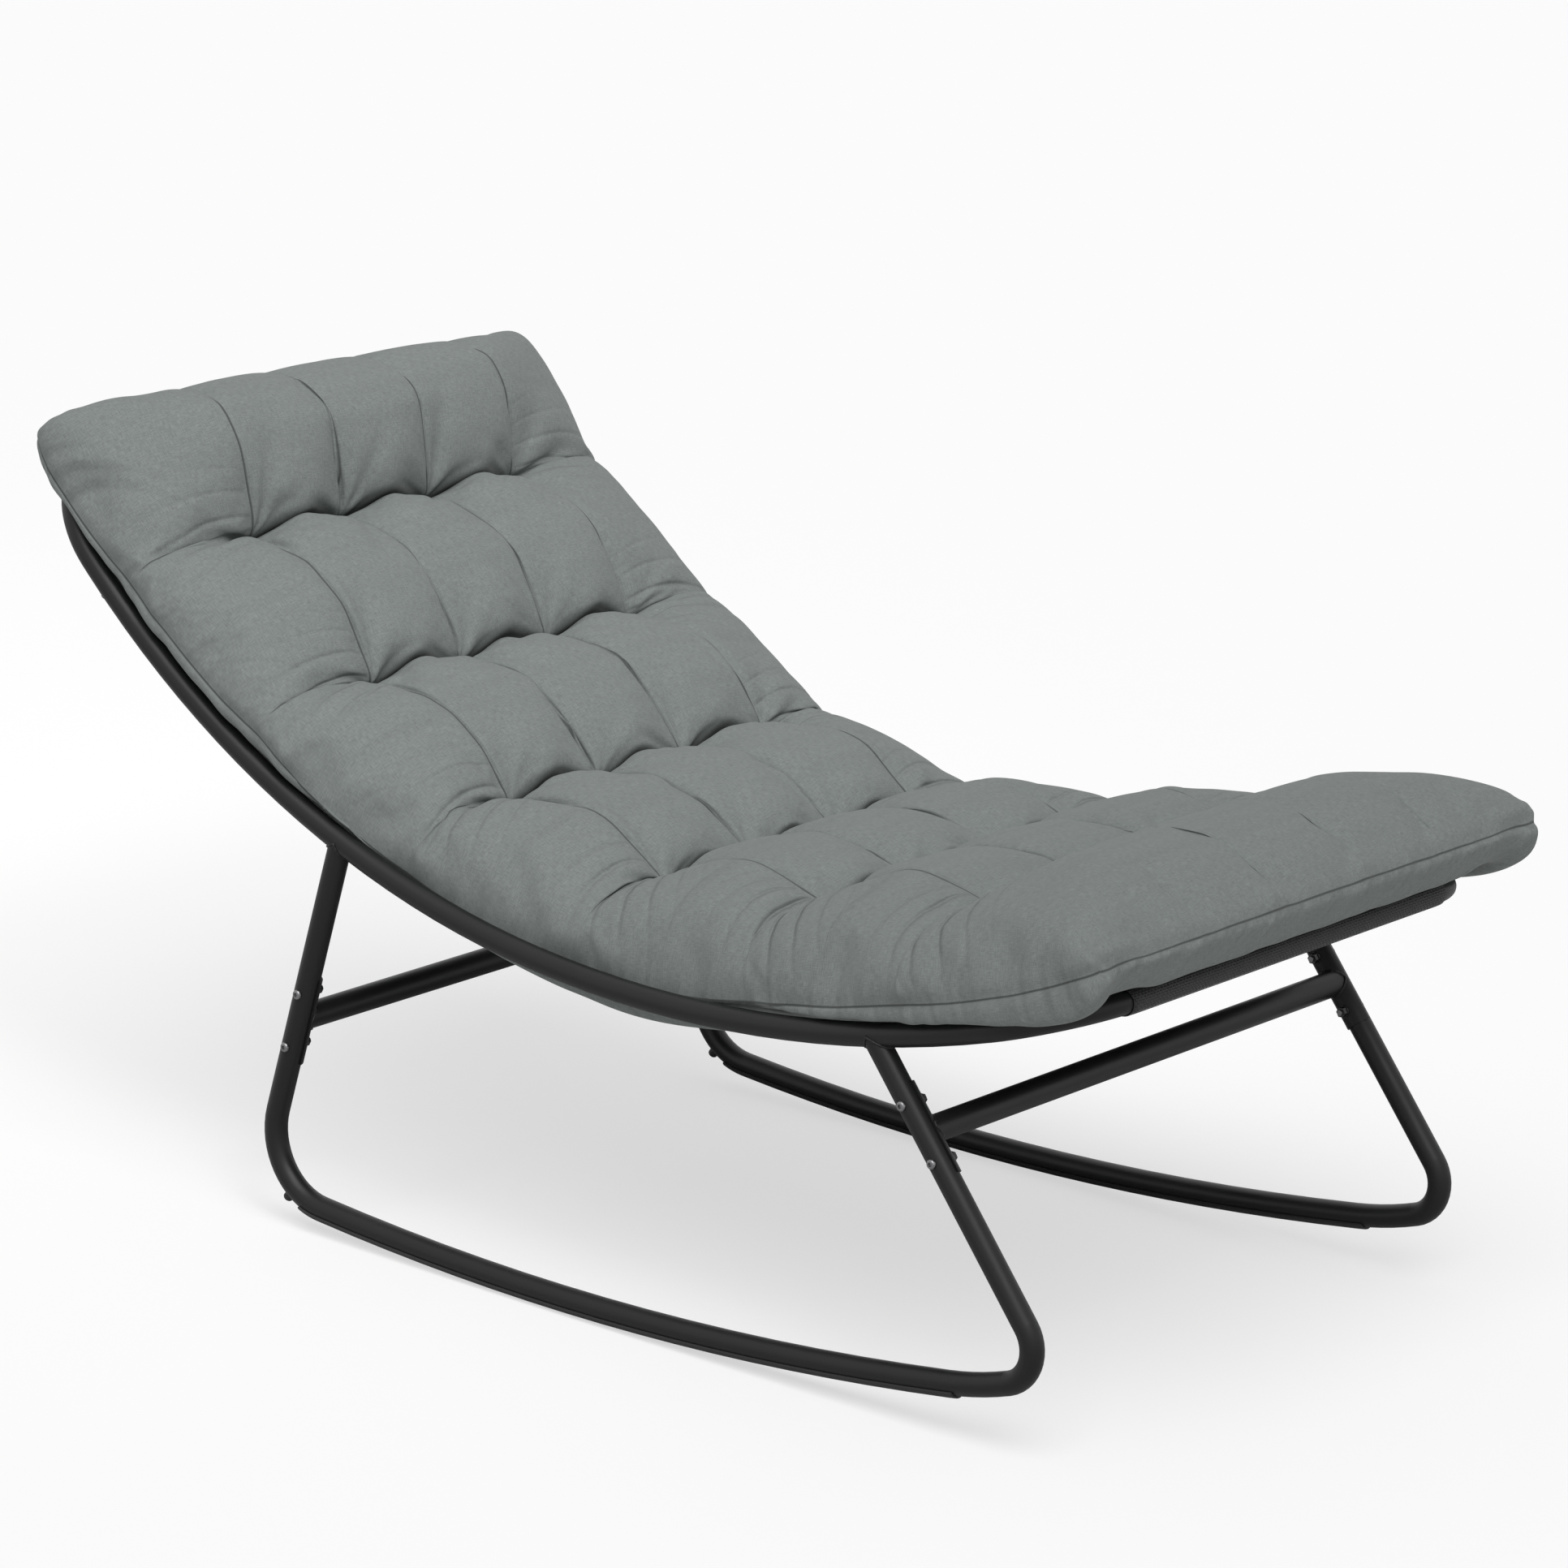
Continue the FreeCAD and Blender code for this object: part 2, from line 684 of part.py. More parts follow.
def cushion_section(place, inset=0.0):
    """Closed outline square to the rail line: five puffs over a belly that hangs between the rails."""
    end = EndShape(place)
    puff = puff_at(place)
    level = between(place, list(zip(rows, tuft_heights)))
    crown = between(place, list(zip(crown_places, crown_rises)))
    rise = crown * (saddle_share * (1 - puff) + puff)
    valley = end.raised(level + channel_share * crown * puff) - inset
    ridge = max(end.raised(level + rise) - inset, valley + least_bulge)
    edge = end.height + (between(place, edge_heights) - end.height) * end.full
    outer = edge + (end.raised(level + outer_share * rise) - edge) * edge_roundness - inset
    edge_x = between(place, edge_halves) - cushion_corner * (1 - end.full)
    edge_x -= seam_draw_in * (1 - puff) ** 2 * end.full + edge_inset_factor * inset
    low = underside(place)
    bottom = end.lowered(low) + inset
    shoulder = end.lowered(max(belly_height, low + half_end)) + inset
    shoulder_x = min(belly_x, edge_x - cushion_overhang) - inset
    flat_x = between(place, belly_halves) - inset
    sag = belly_bulge * (1 - lift(place)) * end.full + least_bulge
    origin = at(0, rail_point(place))
    up = rail_normal(place)

    def spot(x, height):
        return origin + across * x + up * height

    def bulged(a, b, height):
        middle = (a[1] + b[1]) / 2
        return arc(spot(*a), spot((a[0] + b[0]) / 2, max(height, middle + least_bulge)), spot(*b))

    def hung(a, b):
        return arc(spot(*a), spot((a[0] + b[0]) / 2, (a[1] + b[1]) / 2 - sag), spot(*b))

    bead = [(-edge_x, edge)] + [(x, valley) for x in columns] + [(edge_x, edge)]
    heights = [outer] + [ridge] * (tuft_columns - 1) + [outer]
    edges = [bulged(bead[k], bead[k + 1], heights[k]) for k in range(tuft_columns + 1)]
    edges.append(line(spot(edge_x, edge), spot(shoulder_x, shoulder)))
    edges.append(hung((shoulder_x, shoulder), (flat_x, bottom)))
    edges.append(line(spot(flat_x, bottom), spot(-flat_x, bottom)))
    edges.append(hung((-flat_x, bottom), (-shoulder_x, shoulder)))
    edges.append(line(spot(-shoulder_x, shoulder), spot(-edge_x, edge)))
    return Part.Wire(Part.__sortEdges__(edges))


def spread(start, end, parts):
    return [start + (end - start) * k / parts for k in range(parts + 1)]


def cushion_bands(start_turn):
    """Stations of the lofts: one band per gap between tuft rows, closer round both ends."""
    ends = [1 - math.cos(turn) for turn in spread(start_turn, math.pi / 2, END_STEPS)]
    front = [cushion_front + front_end_length * share for share in ends]
    front += spread(cushion_front + front_end_length, rows[0], BAND_STEPS)[1:]
    top = spread(rows[-1], cushion_top - head_end_length, BAND_STEPS)[:-1]
    top += [cushion_top - head_end_length * share for share in reversed(ends)]
    return [front] + [spread(a, b, BAND_STEPS) for a, b in zip(rows, rows[1:])] + [top]


def cushion_body(start_turn, inset):
    """Closed body of lofted bands that meet in a crease at each tuft row."""
    bands = cushion_bands(start_turn)
    faces = [Part.Face(cushion_section(place, inset)) for place in (bands[0][0], bands[-1][-1])]
    for band in bands:
        sections = [cushion_section(place, inset) for place in band]
        faces += Part.makeLoft(sections, False, False, False, LOFT_DEGREE).Faces
    shell = Part.makeShell(faces)
    shell.sewShape()
    return Part.makeSolid(shell.Shells[0])


def make_cushion():
    """Cover with its padding as one thick skin round a light filling, left hollow."""
    return cushion_body(0.0, 0.0).cut(cushion_body(math.radians(hollow_start), cushion_skin))


def build():
    left = {
        "side_rail": make_side_rail(),
        "rocker": make_rocker(),
        "runner_strip": make_strip(),
        "rear_stop": make_stop(),
    }
    pieces = {"left_" + name: shape for name, shape in left.items()}
    pieces.update({"right_" + name: mirrored(shape) for name, shape in left.items()})
    for end, joint in JOINTS.items():
        saddle = make_saddle(joint)
        pieces[end + "_left_saddle"] = saddle
        pieces[end + "_right_saddle"] = mirrored(saddle)
        pieces[end + "_cross_bar"] = make_cross_bar(joint)
        for name, make in (("bolts", make_bolt), ("washers", make_washer), ("nuts", make_nut)):
            near = [make(point) for point in joint.bolts]
            pieces[end + "_leg_" + name] = Part.makeCompound(near + [mirrored(s) for s in near])
    screw = make_joint_screw()
    pieces["top_joint_screws"] = Part.makeCompound([screw, mirrored(screw)])
    pieces["top_rail"] = make_top_rail()
    pieces["front_rail"] = make_front_rail()
    pieces["sling"] = make_sling()
    pieces["cushion"] = make_cushion()
    return pieces


def main():
    os.makedirs("parts", exist_ok=True)
    for name, shape in build().items():
        shape.rotate(at(0, runner_centre), across, -rest_lean)
        shape.exportStep("parts/" + name + ".step")
        print(name, "solids", len(shape.Solids), "valid", shape.isValid(), "volume", round(shape.Volume))


main()
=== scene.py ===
import json
import math
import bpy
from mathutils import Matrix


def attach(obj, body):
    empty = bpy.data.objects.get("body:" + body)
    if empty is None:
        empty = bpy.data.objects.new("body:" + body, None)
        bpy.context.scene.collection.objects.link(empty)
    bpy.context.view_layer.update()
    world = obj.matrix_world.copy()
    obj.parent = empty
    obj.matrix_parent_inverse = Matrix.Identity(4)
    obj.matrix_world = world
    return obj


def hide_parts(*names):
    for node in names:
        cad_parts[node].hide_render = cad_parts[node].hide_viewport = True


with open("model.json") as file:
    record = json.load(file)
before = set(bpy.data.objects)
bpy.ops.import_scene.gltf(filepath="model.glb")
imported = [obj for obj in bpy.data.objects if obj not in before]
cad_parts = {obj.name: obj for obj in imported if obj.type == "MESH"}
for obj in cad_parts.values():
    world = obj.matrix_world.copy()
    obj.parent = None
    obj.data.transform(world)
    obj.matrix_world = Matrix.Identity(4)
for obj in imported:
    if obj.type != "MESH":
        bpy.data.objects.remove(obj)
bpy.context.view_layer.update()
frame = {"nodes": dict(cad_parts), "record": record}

from types import SimpleNamespace

import bmesh
import bpy
import numpy as np
from bpy.props import FloatProperty, FloatVectorProperty, IntProperty, PointerProperty
from bpy.types import Operator, Panel, PropertyGroup
from mathutils import Matrix, Vector

bl_info = {
    "name": "Rocking lounger",
    "version": (1, 0, 0),
    "blender": (4, 5, 0),
    "location": "View3D > Sidebar > Lounger",
    "description": "Dresses the tube frame of a rocking lounger and adds its sling and tufted cushion",
    "category": "Object",
}

# Sizes shared with the frame, in metres, drawn upright and then leaned back on the runners
TUBE_R = 0.0125
RAIL_X = 0.3485
RUNNER_R = 3.579
REST_LEAN = math.radians(2.18)
RAIL_LOW = (-0.070, 0.355)
SEAT_R = 1.400
BACK_R = 1.094
FRONT_ANGLE = -math.radians(15.4)
CHANGE_ANGLE = math.radians(8.8)
TOP_ANGLE = math.radians(46.5)
FRONT_CORNER_R = 0.100
TOP_CORNER_R = 0.130
SLING_SAG = 0.275
SADDLE_R = 0.01455
BAR_R = 0.014
FRONT_BAR_DROP = 0.108
REAR_BAR_DROP = 0.213
# Legs: Y where the leg meets the rail line, lean in degrees, and 1 where the leg's top leans to the head
FRONT_LEG = (-0.297, 36.3, 1)
REAR_LEG = (0.414, 17.6, -1)
# Sling sleeves: radius round a rail, distance from the rail to the stitch line, and hem past it
SLEEVE_R = TUBE_R + 0.0009
SLEEVE_REACH = 0.042
SLEEVE_HEM = 0.014

CHANGE_PLACE = SEAT_R * CHANGE_ANGLE
FRONT_PLACE = SEAT_R * FRONT_ANGLE
TOP_PLACE = CHANGE_PLACE + BACK_R * (TOP_ANGLE - CHANGE_ANGLE)
SEAT_CENTRE = np.array([RAIL_LOW[0], RAIL_LOW[1] + SEAT_R])
BACK_CENTRE = SEAT_CENTRE + (SEAT_R - BACK_R) * np.array([math.sin(CHANGE_ANGLE), -math.cos(CHANGE_ANGLE)])


def leaned(points):
    """Upright points turned back by the rest lean about the runners' centre of curvature."""
    points = np.asarray(points, float)
    c, s = math.cos(REST_LEAN), math.sin(REST_LEAN)
    y, z = points[..., 1], points[..., 2] - RUNNER_R
    return np.stack([points[..., 0], y * c + z * s, RUNNER_R - y * s + z * c], -1)


def rail_angle(place):
    """Slope of the side rail line at a length along it from its lowest point."""
    return np.where(place < CHANGE_PLACE, place / SEAT_R, CHANGE_ANGLE + (place - CHANGE_PLACE) / BACK_R)


def on_rail(x, place, height):
    """Points across x, along the side rail line by place and square to it by height."""
    x, place, height = np.broadcast_arrays(x, place, height)
    angle = rail_angle(place)
    on_seat = place < CHANGE_PLACE
    radius = np.where(on_seat, SEAT_R, BACK_R) - height
    y = np.where(on_seat, SEAT_CENTRE[0], BACK_CENTRE[0]) + radius * np.sin(angle)
    z = np.where(on_seat, SEAT_CENTRE[1], BACK_CENTRE[1]) - radius * np.cos(angle)
    return np.stack([x, y, z], -1)


def end_rail(place, radius, forward):
    """Side view centre of an end rail: one corner radius past the corner's start, along the rail's slope."""
    y, z = on_rail(0.0, place, 0.0)[1:]
    angle = float(rail_angle(place))
    return np.array([y, z]) + radius * forward * np.array([math.cos(angle), math.sin(angle)])


FRONT_RAIL = end_rail(FRONT_PLACE, FRONT_CORNER_R, -1)
TOP_RAIL = end_rail(TOP_PLACE, TOP_CORNER_R, 1)


def sling_circle():
    """Centre and radius of the sling's arc through both end rails, from its sag below their chord."""
    chord = TOP_RAIL - FRONT_RAIL
    length = float(np.hypot(*chord))
    radius = ((length / 2) ** 2 + SLING_SAG ** 2) / (2 * SLING_SAG)
    normal = np.array([-chord[1], chord[0]]) / length
    return (FRONT_RAIL + TOP_RAIL) / 2 + normal * (radius - SLING_SAG), radius


SLING_CENTRE, SLING_R = sling_circle()


# Mesh helpers


def grid_faces(rows, columns, wrap_rows=False, wrap_columns=False, first=0):
    """Quads of a rows by columns grid of points numbered row by row."""
    r = np.arange(rows if wrap_rows else rows - 1)[:, None]
    c = np.arange(columns if wrap_columns else columns - 1)[None, :]
    r2, c2 = (r + 1) % rows, (c + 1) % columns
    corners = (r * columns + c, r * columns + c2, r2 * columns + c2, r2 * columns + c)
    return np.stack(np.broadcast_arrays(*corners), -1).reshape(-1, 4) + first


def mesh_object(name, points, faces, uv=None):
    """Smooth shaded mesh object at the origin, with a UV map in metres when one is given."""
    mesh = bpy.data.meshes.new(name)
    mesh.from_pydata(np.asarray(points).reshape(-1, 3).tolist(), [], np.asarray(faces).tolist())
    mesh.update()
    mesh.polygons.foreach_set("use_smooth", np.ones(len(mesh.polygons), bool))
    if uv is not None:
        loops = np.empty(len(mesh.loops), np.int32)
        mesh.loops.foreach_get("vertex_index", loops)
        layer = mesh.uv_layers.new(name="cloth")
        layer.data.foreach_set("uv", np.asarray(uv, float).reshape(-1, 2)[loops].ravel())
    obj = bpy.data.objects.new(name, mesh)
    bpy.context.scene.collection.objects.link(obj)
    return obj


def tube_round(path, radius, sides):
    """Round tube along a closed path: circles of the given radius square to the path at its points."""
    path = np.asarray(path, float)
    ahead = np.roll(path, -1, 0) - np.roll(path, 1, 0)
    ahead /= np.linalg.norm(ahead, axis=1)[:, None]
    centre = path.mean(0)
    side = np.cross(ahead, path - centre + 1e-9)
    side /= np.linalg.norm(side, axis=1)[:, None]
    out = np.cross(side, ahead)
    turn = np.linspace(0, 2 * np.pi, sides, endpoint=False)
    radius = np.broadcast_to(np.asarray(radius, float), len(path))[:, None, None]
    ring = side[:, None] * np.cos(turn)[None, :, None] + out[:, None] * np.sin(turn)[None, :, None]
    return path[:, None] + ring * radius


# Shader helpers


def tinted(colour, factor):
    """Opaque colour, lighter or darker by a factor."""
    return (*[c * factor for c in colour], 1)


def new_material(name, **sockets):
    """Material with a Principled BSDF whose plain values are set on its own sockets."""
    material = bpy.data.materials.new(name)
    material.use_nodes = True
    shader = material.node_tree.nodes["Principled BSDF"]
    for socket, value in sockets.items():
        shader.inputs[socket.replace("_", " ")].default_value = value
    return material, material.node_tree, shader


class Nodes:
    """Short way to add and join the nodes of one tree."""

    def __init__(self, tree):
        self.tree = tree

    def add(self, kind, inputs=(), **settings):
        node = self.tree.nodes.new(kind)
        for key, value in settings.items():
            setattr(node, key, value)
        for key, value in dict(inputs).items():
            self.put(value, node.inputs[key])
        return node

    def put(self, value, socket):
        if isinstance(value, bpy.types.NodeSocket):
            self.tree.links.new(value, socket)
        else:
            socket.default_value = value

    def math(self, operation, a, b=0.0):
        node = self.add("ShaderNodeMath", operation=operation)
        for socket, value in zip(node.inputs, (a, b)):
            self.put(value, socket)
        return node.outputs[0]

    def noise(self, vector, scale, detail):
        node = self.add("ShaderNodeTexNoise", {"Vector": vector, "Scale": scale, "Detail": detail})
        return node.outputs[0]

    def scaled(self, vector, factors):
        node = self.add("ShaderNodeVectorMath", operation="MULTIPLY")
        self.put(vector, node.inputs[0])
        node.inputs[1].default_value = factors
        return node.outputs[0]

    def span(self, value, low, high, to_low, to_high):
        node = self.add("ShaderNodeMapRange", {"Value": value})
        for key, number in zip(("From Min", "From Max", "To Min", "To Max"), (low, high, to_low, to_high)):
            node.inputs[key].default_value = number
        return node.outputs[0]

    def mix(self, share, a, b):
        node = self.add("ShaderNodeMix", data_type="RGBA")
        self.put(share, node.inputs["Factor"])
        self.put(a, node.inputs["A"])
        self.put(b, node.inputs["B"])
        return node.outputs["Result"]

    def bump(self, height, strength, distance, below=None):
        node = self.add("ShaderNodeBump", {"Strength": strength, "Distance": distance, "Height": height})
        if below:
            self.put(below, node.inputs["Normal"])
        return node.outputs[0]

    def attribute(self, name):
        return self.add("ShaderNodeAttribute", attribute_name=name).outputs["Fac"]


def node_group(name, inputs, outputs):
    """Empty shader group with named sockets; returns its nodes helper, inputs and outputs."""
    tree = bpy.data.node_groups.new(name, "ShaderNodeTree")
    for label, kind, value in inputs:
        socket = tree.interface.new_socket(label, in_out="INPUT", socket_type=kind)
        if value is not None:
            socket.default_value = value
    for label, kind in outputs:
        tree.interface.new_socket(label, in_out="OUTPUT", socket_type=kind)
    n = Nodes(tree)
    return tree, n, n.add("NodeGroupInput").outputs, n.add("NodeGroupOutput").inputs


def grain_group():
    """Fine and broad noise together: a grain value for roughness and tint, a height for bump."""
    tree = bpy.data.node_groups.get("surface_grain")
    if tree:
        return tree
    tree, n, given, out = node_group(
        "surface_grain",
        [("Vector", "NodeSocketVector", None), ("Fine", "NodeSocketFloat", 900.0),
         ("Broad", "NodeSocketFloat", 14.0)],
        [("Value", "NodeSocketFloat"), ("Height", "NodeSocketFloat")],
    )
    fine = n.noise(given["Vector"], given["Fine"], 2.0)
    broad = n.noise(given["Vector"], given["Broad"], 4.0)
    n.put(n.math("ADD", n.math("MULTIPLY", fine, 0.4), n.math("MULTIPLY", broad, 0.6)), out["Value"])
    n.put(fine, out["Height"])
    return tree


# Height of a thread's round below which the mesh is open
THREAD_EDGE = 0.62


def weave_group():
    """Plain weave: round warp and weft threads that cross in a checker, with gaps at the corners."""
    tree = bpy.data.node_groups.get("plain_weave")
    if tree:
        return tree
    tree, n, given, out = node_group(
        "plain_weave",
        [("Vector", "NodeSocketVector", None), ("Pitch", "NodeSocketFloat", 0.001)],
        [("Height", "NodeSocketFloat"), ("Gap", "NodeSocketFloat")],
    )
    split = n.add("ShaderNodeSeparateXYZ", {"Vector": given["Vector"]}).outputs
    across = n.math("DIVIDE", split["X"], given["Pitch"])
    along = n.math("DIVIDE", split["Y"], given["Pitch"])
    wave_a = n.math("SINE", n.math("MULTIPLY", across, math.pi))
    wave_b = n.math("SINE", n.math("MULTIPLY", along, math.pi))
    side_a = n.math("ABSOLUTE", wave_a)
    side_b = n.math("ABSOLUTE", wave_b)
    over = n.math("GREATER_THAN", n.math("MULTIPLY", wave_a, wave_b), 0.0)
    thread = n.math("ADD", n.math("MULTIPLY", side_a, over),
                    n.math("MULTIPLY", side_b, n.math("SUBTRACT", 1.0, over)))
    n.put(thread, out["Height"])
    n.put(n.math("LESS_THAN", n.math("MAXIMUM", side_a, side_b), THREAD_EDGE), out["Gap"])
    return tree


def placed(n, tree, **inputs):
    """Group node in a tree, with its inputs joined or set; returns its outputs."""
    node = n.add("ShaderNodeGroup", node_tree=tree)
    for key, value in inputs.items():
        n.put(value, node.inputs[key])
    return node.outputs


def hard_finish(name, colour, pale, roughness, fine, bump, **sockets):
    """Paint, steel or rubber: colour and roughness drift with the grain, and the grain gives a fine bump."""
    material, tree, shader = new_material(name, **sockets)
    n = Nodes(tree)
    place = n.add("ShaderNodeTexCoord").outputs["Object"]
    grain = placed(n, grain_group(), Vector=place, Fine=fine)
    n.put(n.mix(grain["Value"], tinted(colour, 1), pale), shader.inputs["Base Color"])
    n.put(n.span(grain["Value"], 0.3, 0.7, *roughness), shader.inputs["Roughness"])
    n.put(n.bump(grain["Height"], bump, 0.0004), shader.inputs["Normal"])
    return material


# Settings


class LoungerFrameSettings(PropertyGroup):
    paint: FloatVectorProperty(
        name="Paint", description="Powder coat of the tubes", subtype="COLOR", size=3,
        default=(0.0065, 0.0065, 0.0068), min=0, max=1)
    steel: FloatVectorProperty(
        name="Steel", description="Plated bolt heads", subtype="COLOR", size=3,
        default=(0.20, 0.20, 0.205), min=0, max=1)
    weld: FloatProperty(
        name="Weld bead", description="Radius of the painted weld beads", unit="LENGTH", default=0.0016)


class LoungerSlingSettings(PropertyGroup):
    thread: FloatVectorProperty(
        name="Thread", description="Coated yarn of the mesh", subtype="COLOR", size=3,
        default=(0.022, 0.022, 0.023), min=0, max=1)
    pitch: FloatProperty(
        name="Mesh pitch", description="Distance between two yarns", unit="LENGTH", default=0.0026)
    front_half: FloatProperty(
        name="Front half width", description="Half width at the front rail", unit="LENGTH", default=0.2645)
    top_half: FloatProperty(
        name="Top half width", description="Half width at the top rail", unit="LENGTH", default=0.2155)
    thickness: FloatProperty(
        name="Thickness", description="Thickness of the mesh", unit="LENGTH", default=0.0011)


class LoungerCushionSettings(PropertyGroup):
    cloth: FloatVectorProperty(
        name="Cloth", description="Woven cover", subtype="COLOR", size=3,
        default=(0.196, 0.216, 0.209), min=0, max=1)
    pressure: FloatProperty(name="Filling pressure", description="Swell of the filling", default=4.0, min=0)
    ease: FloatProperty(
        name="Cloth ease", description="Spare cloth sewn into the top panel", subtype="FACTOR",
        default=0.06, min=0, max=0.3)
    cap: FloatProperty(
        name="Swell cap", description="Furthest a point may move", unit="LENGTH", default=0.022)
    frames: IntProperty(name="Settling steps", description="Frames of the cloth run", default=18, min=1)
    broad: FloatProperty(
        name="Broad swell", description="Cells over which swell counts as broad", default=9.0, min=1)


class LoungerStageSettings(PropertyGroup):
    floor: FloatVectorProperty(
        name="Floor", description="White floor", subtype="COLOR", size=3,
        default=(1.0, 1.0, 1.0), min=0, max=1)
    sky: FloatProperty(name="Sky strength", description="Even light from all round", default=0.38, min=0)
    key: FloatProperty(
        name="Key strength", description="Broad soft light from high above the camera", default=1.95, min=0)
    back_fill: FloatProperty(
        name="Back fill", description="Light that fades from the head down the back", subtype="POWER",
        default=235, min=0)
    glow: FloatProperty(
        name="Floor glow", description="Share of the floor's seen light that no shadow takes away",
        subtype="FACTOR", default=0.6, min=0, max=1)
    bounce: FloatProperty(
        name="Floor bounce", description="Share of the floor's light that reaches the chair",
        subtype="FACTOR", default=0.66, min=0, max=1)
    softness: FloatProperty(
        name="Key softness", description="Width of the key light", subtype="ANGLE", default=0.9)
    lens: FloatProperty(name="Lens", description="Focal length", unit="CAMERA", default=155.754)


# Operators


# Colours of the small dark pieces, and of the palest grain in them
OXIDE = (0.05, 0.05, 0.052)
PALE_OXIDE = (0.09, 0.09, 0.092, 1)
RUBBER = (0.012, 0.012, 0.012)
PALE_RUBBER = (0.02, 0.02, 0.02, 1)


class LOUNGER_OT_frame_finish(Operator):
    """Give the tubes, fasteners and rubber pieces their finishes"""

    bl_idname = "lounger.frame_finish"
    bl_label = "Finish the frame"

    def execute(self, context):
        settings = context.scene.lounger_frame
        paint, steel = settings.paint, settings.steel
        kinds = {
            "frame_paint": hard_finish(
                "powder_coat", paint, tinted(paint, 1.5), (0.36, 0.48), 1100, 0.12, Specular_IOR_Level=0.3),
            "bright_steel": hard_finish(
                "plated_steel", steel, tinted(steel, 1.3), (0.28, 0.42), 2500, 0.06, Metallic=1.0),
            "dark_steel": hard_finish(
                "black_oxide", OXIDE, PALE_OXIDE, (0.35, 0.5), 2500, 0.08, Metallic=1.0),
            "rubber": hard_finish("moulded_rubber", RUBBER, PALE_RUBBER, (0.62, 0.78), 1600, 0.3),
        }
        for part in frame["record"]["subparts"]:
            finish = kinds.get(part["material_slot"])
            if finish:
                mesh = frame["nodes"][part["node"]].data
                mesh.materials.clear()
                mesh.materials.append(finish)
        return {"FINISHED"}


# Points round a weld bead, and along it
BEAD_SIDES = 8
BEAD_STEPS = 60


class LOUNGER_OT_welds(Operator):
    """Lay painted weld beads where the legs meet the side rails and the cross bars meet their saddles"""

    bl_idname = "lounger.welds"
    bl_label = "Add welds"

    def execute(self, context):
        bead = context.scene.lounger_frame.weld
        points, faces = [], []
        for leg, drop in ((FRONT_LEG, FRONT_BAR_DROP), (REAR_LEG, REAR_BAR_DROP)):
            top, up = leg_line(*leg)
            for side in (1, -1):
                for ring in (leg_weld_path(top, up, side), bar_weld_path(top - up * drop, up, side)):
                    beaded = bead * (1 + 0.18 * np.sin(np.arange(len(ring)) * 1.9))
                    tube = tube_round(ring, beaded, BEAD_SIDES)
                    first = sum(len(p) for p in points)
                    faces.append(grid_faces(len(ring), BEAD_SIDES, True, True, first))
                    points.append(leaned(tube).reshape(-1, 3))
        welds = mesh_object("weld_beads", np.concatenate(points), np.concatenate(faces))
        recalculate(welds)
        welds.data.materials.append(bpy.data.materials["powder_coat"])
        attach(welds, "frame")
        return {"FINISHED"}


def recalculate(obj):
    """Turn every face of a closed mesh outwards."""
    bm = bmesh.new()
    bm.from_mesh(obj.data)
    bmesh.ops.recalc_face_normals(bm, faces=bm.faces)
    bm.to_mesh(obj.data)
    bm.free()


def leg_line(y, lean, towards_back):
    """Where a leg's centre line meets the side rail's, and the leg's upward direction, in the side view."""
    place = SEAT_R * math.asin((y - SEAT_CENTRE[0]) / SEAT_R)
    if place > CHANGE_PLACE:
        place = CHANGE_PLACE + BACK_R * (math.asin((y - BACK_CENTRE[0]) / BACK_R) - CHANGE_ANGLE)
    angle = math.radians(lean)
    up = np.array([0, math.sin(angle) * towards_back, math.cos(angle)])
    return on_rail(0.0, np.float64(place), 0.0), up


def leg_weld_path(top, up, side):
    """Ring where the leg's round meets the rail's: each point of the leg's skin is slid along the leg
    until its distance from the rail's line, taken as straight here, is one tube radius."""
    turn = np.linspace(0, 2 * np.pi, BEAD_STEPS, endpoint=False)
    across = np.array([1.0, 0, 0])
    fore = np.cross(up, across)
    skin = TUBE_R * (np.cos(turn)[:, None] * across + np.sin(turn)[:, None] * fore)
    slope = rail_slope(top)
    square = np.array([0, -math.sin(slope), math.cos(slope)])
    below = -np.sqrt(np.maximum(TUBE_R ** 2 - skin[:, 0] ** 2, 0))
    slide = (below - skin @ square) / (up @ square)
    ring = top + skin + slide[:, None] * up
    return ring + np.array([side * RAIL_X, 0, 0])


def rail_slope(point):
    """Slope angle of the side rail line at the point of it with the given Y."""
    centre = SEAT_CENTRE if point[1] < SEAT_CENTRE[0] + SEAT_R * math.sin(CHANGE_ANGLE) else BACK_CENTRE
    return math.atan2(point[1] - centre[0], centre[1] - point[2])


def bar_weld_path(centre, up, side):
    """Ring where a cross bar's round meets its saddle, whose outside is round about the leg's line."""
    turn = np.linspace(0, 2 * np.pi, BEAD_STEPS, endpoint=False)
    fore = np.cross(up, np.array([1.0, 0, 0]))
    off = BAR_R * np.cos(turn)
    ring = centre + off[:, None] * fore + (BAR_R * np.sin(turn))[:, None] * up
    ring[:, 0] = side * (RAIL_X - np.sqrt(np.maximum(SADDLE_R ** 2 - off ** 2, 1e-8)))
    return ring


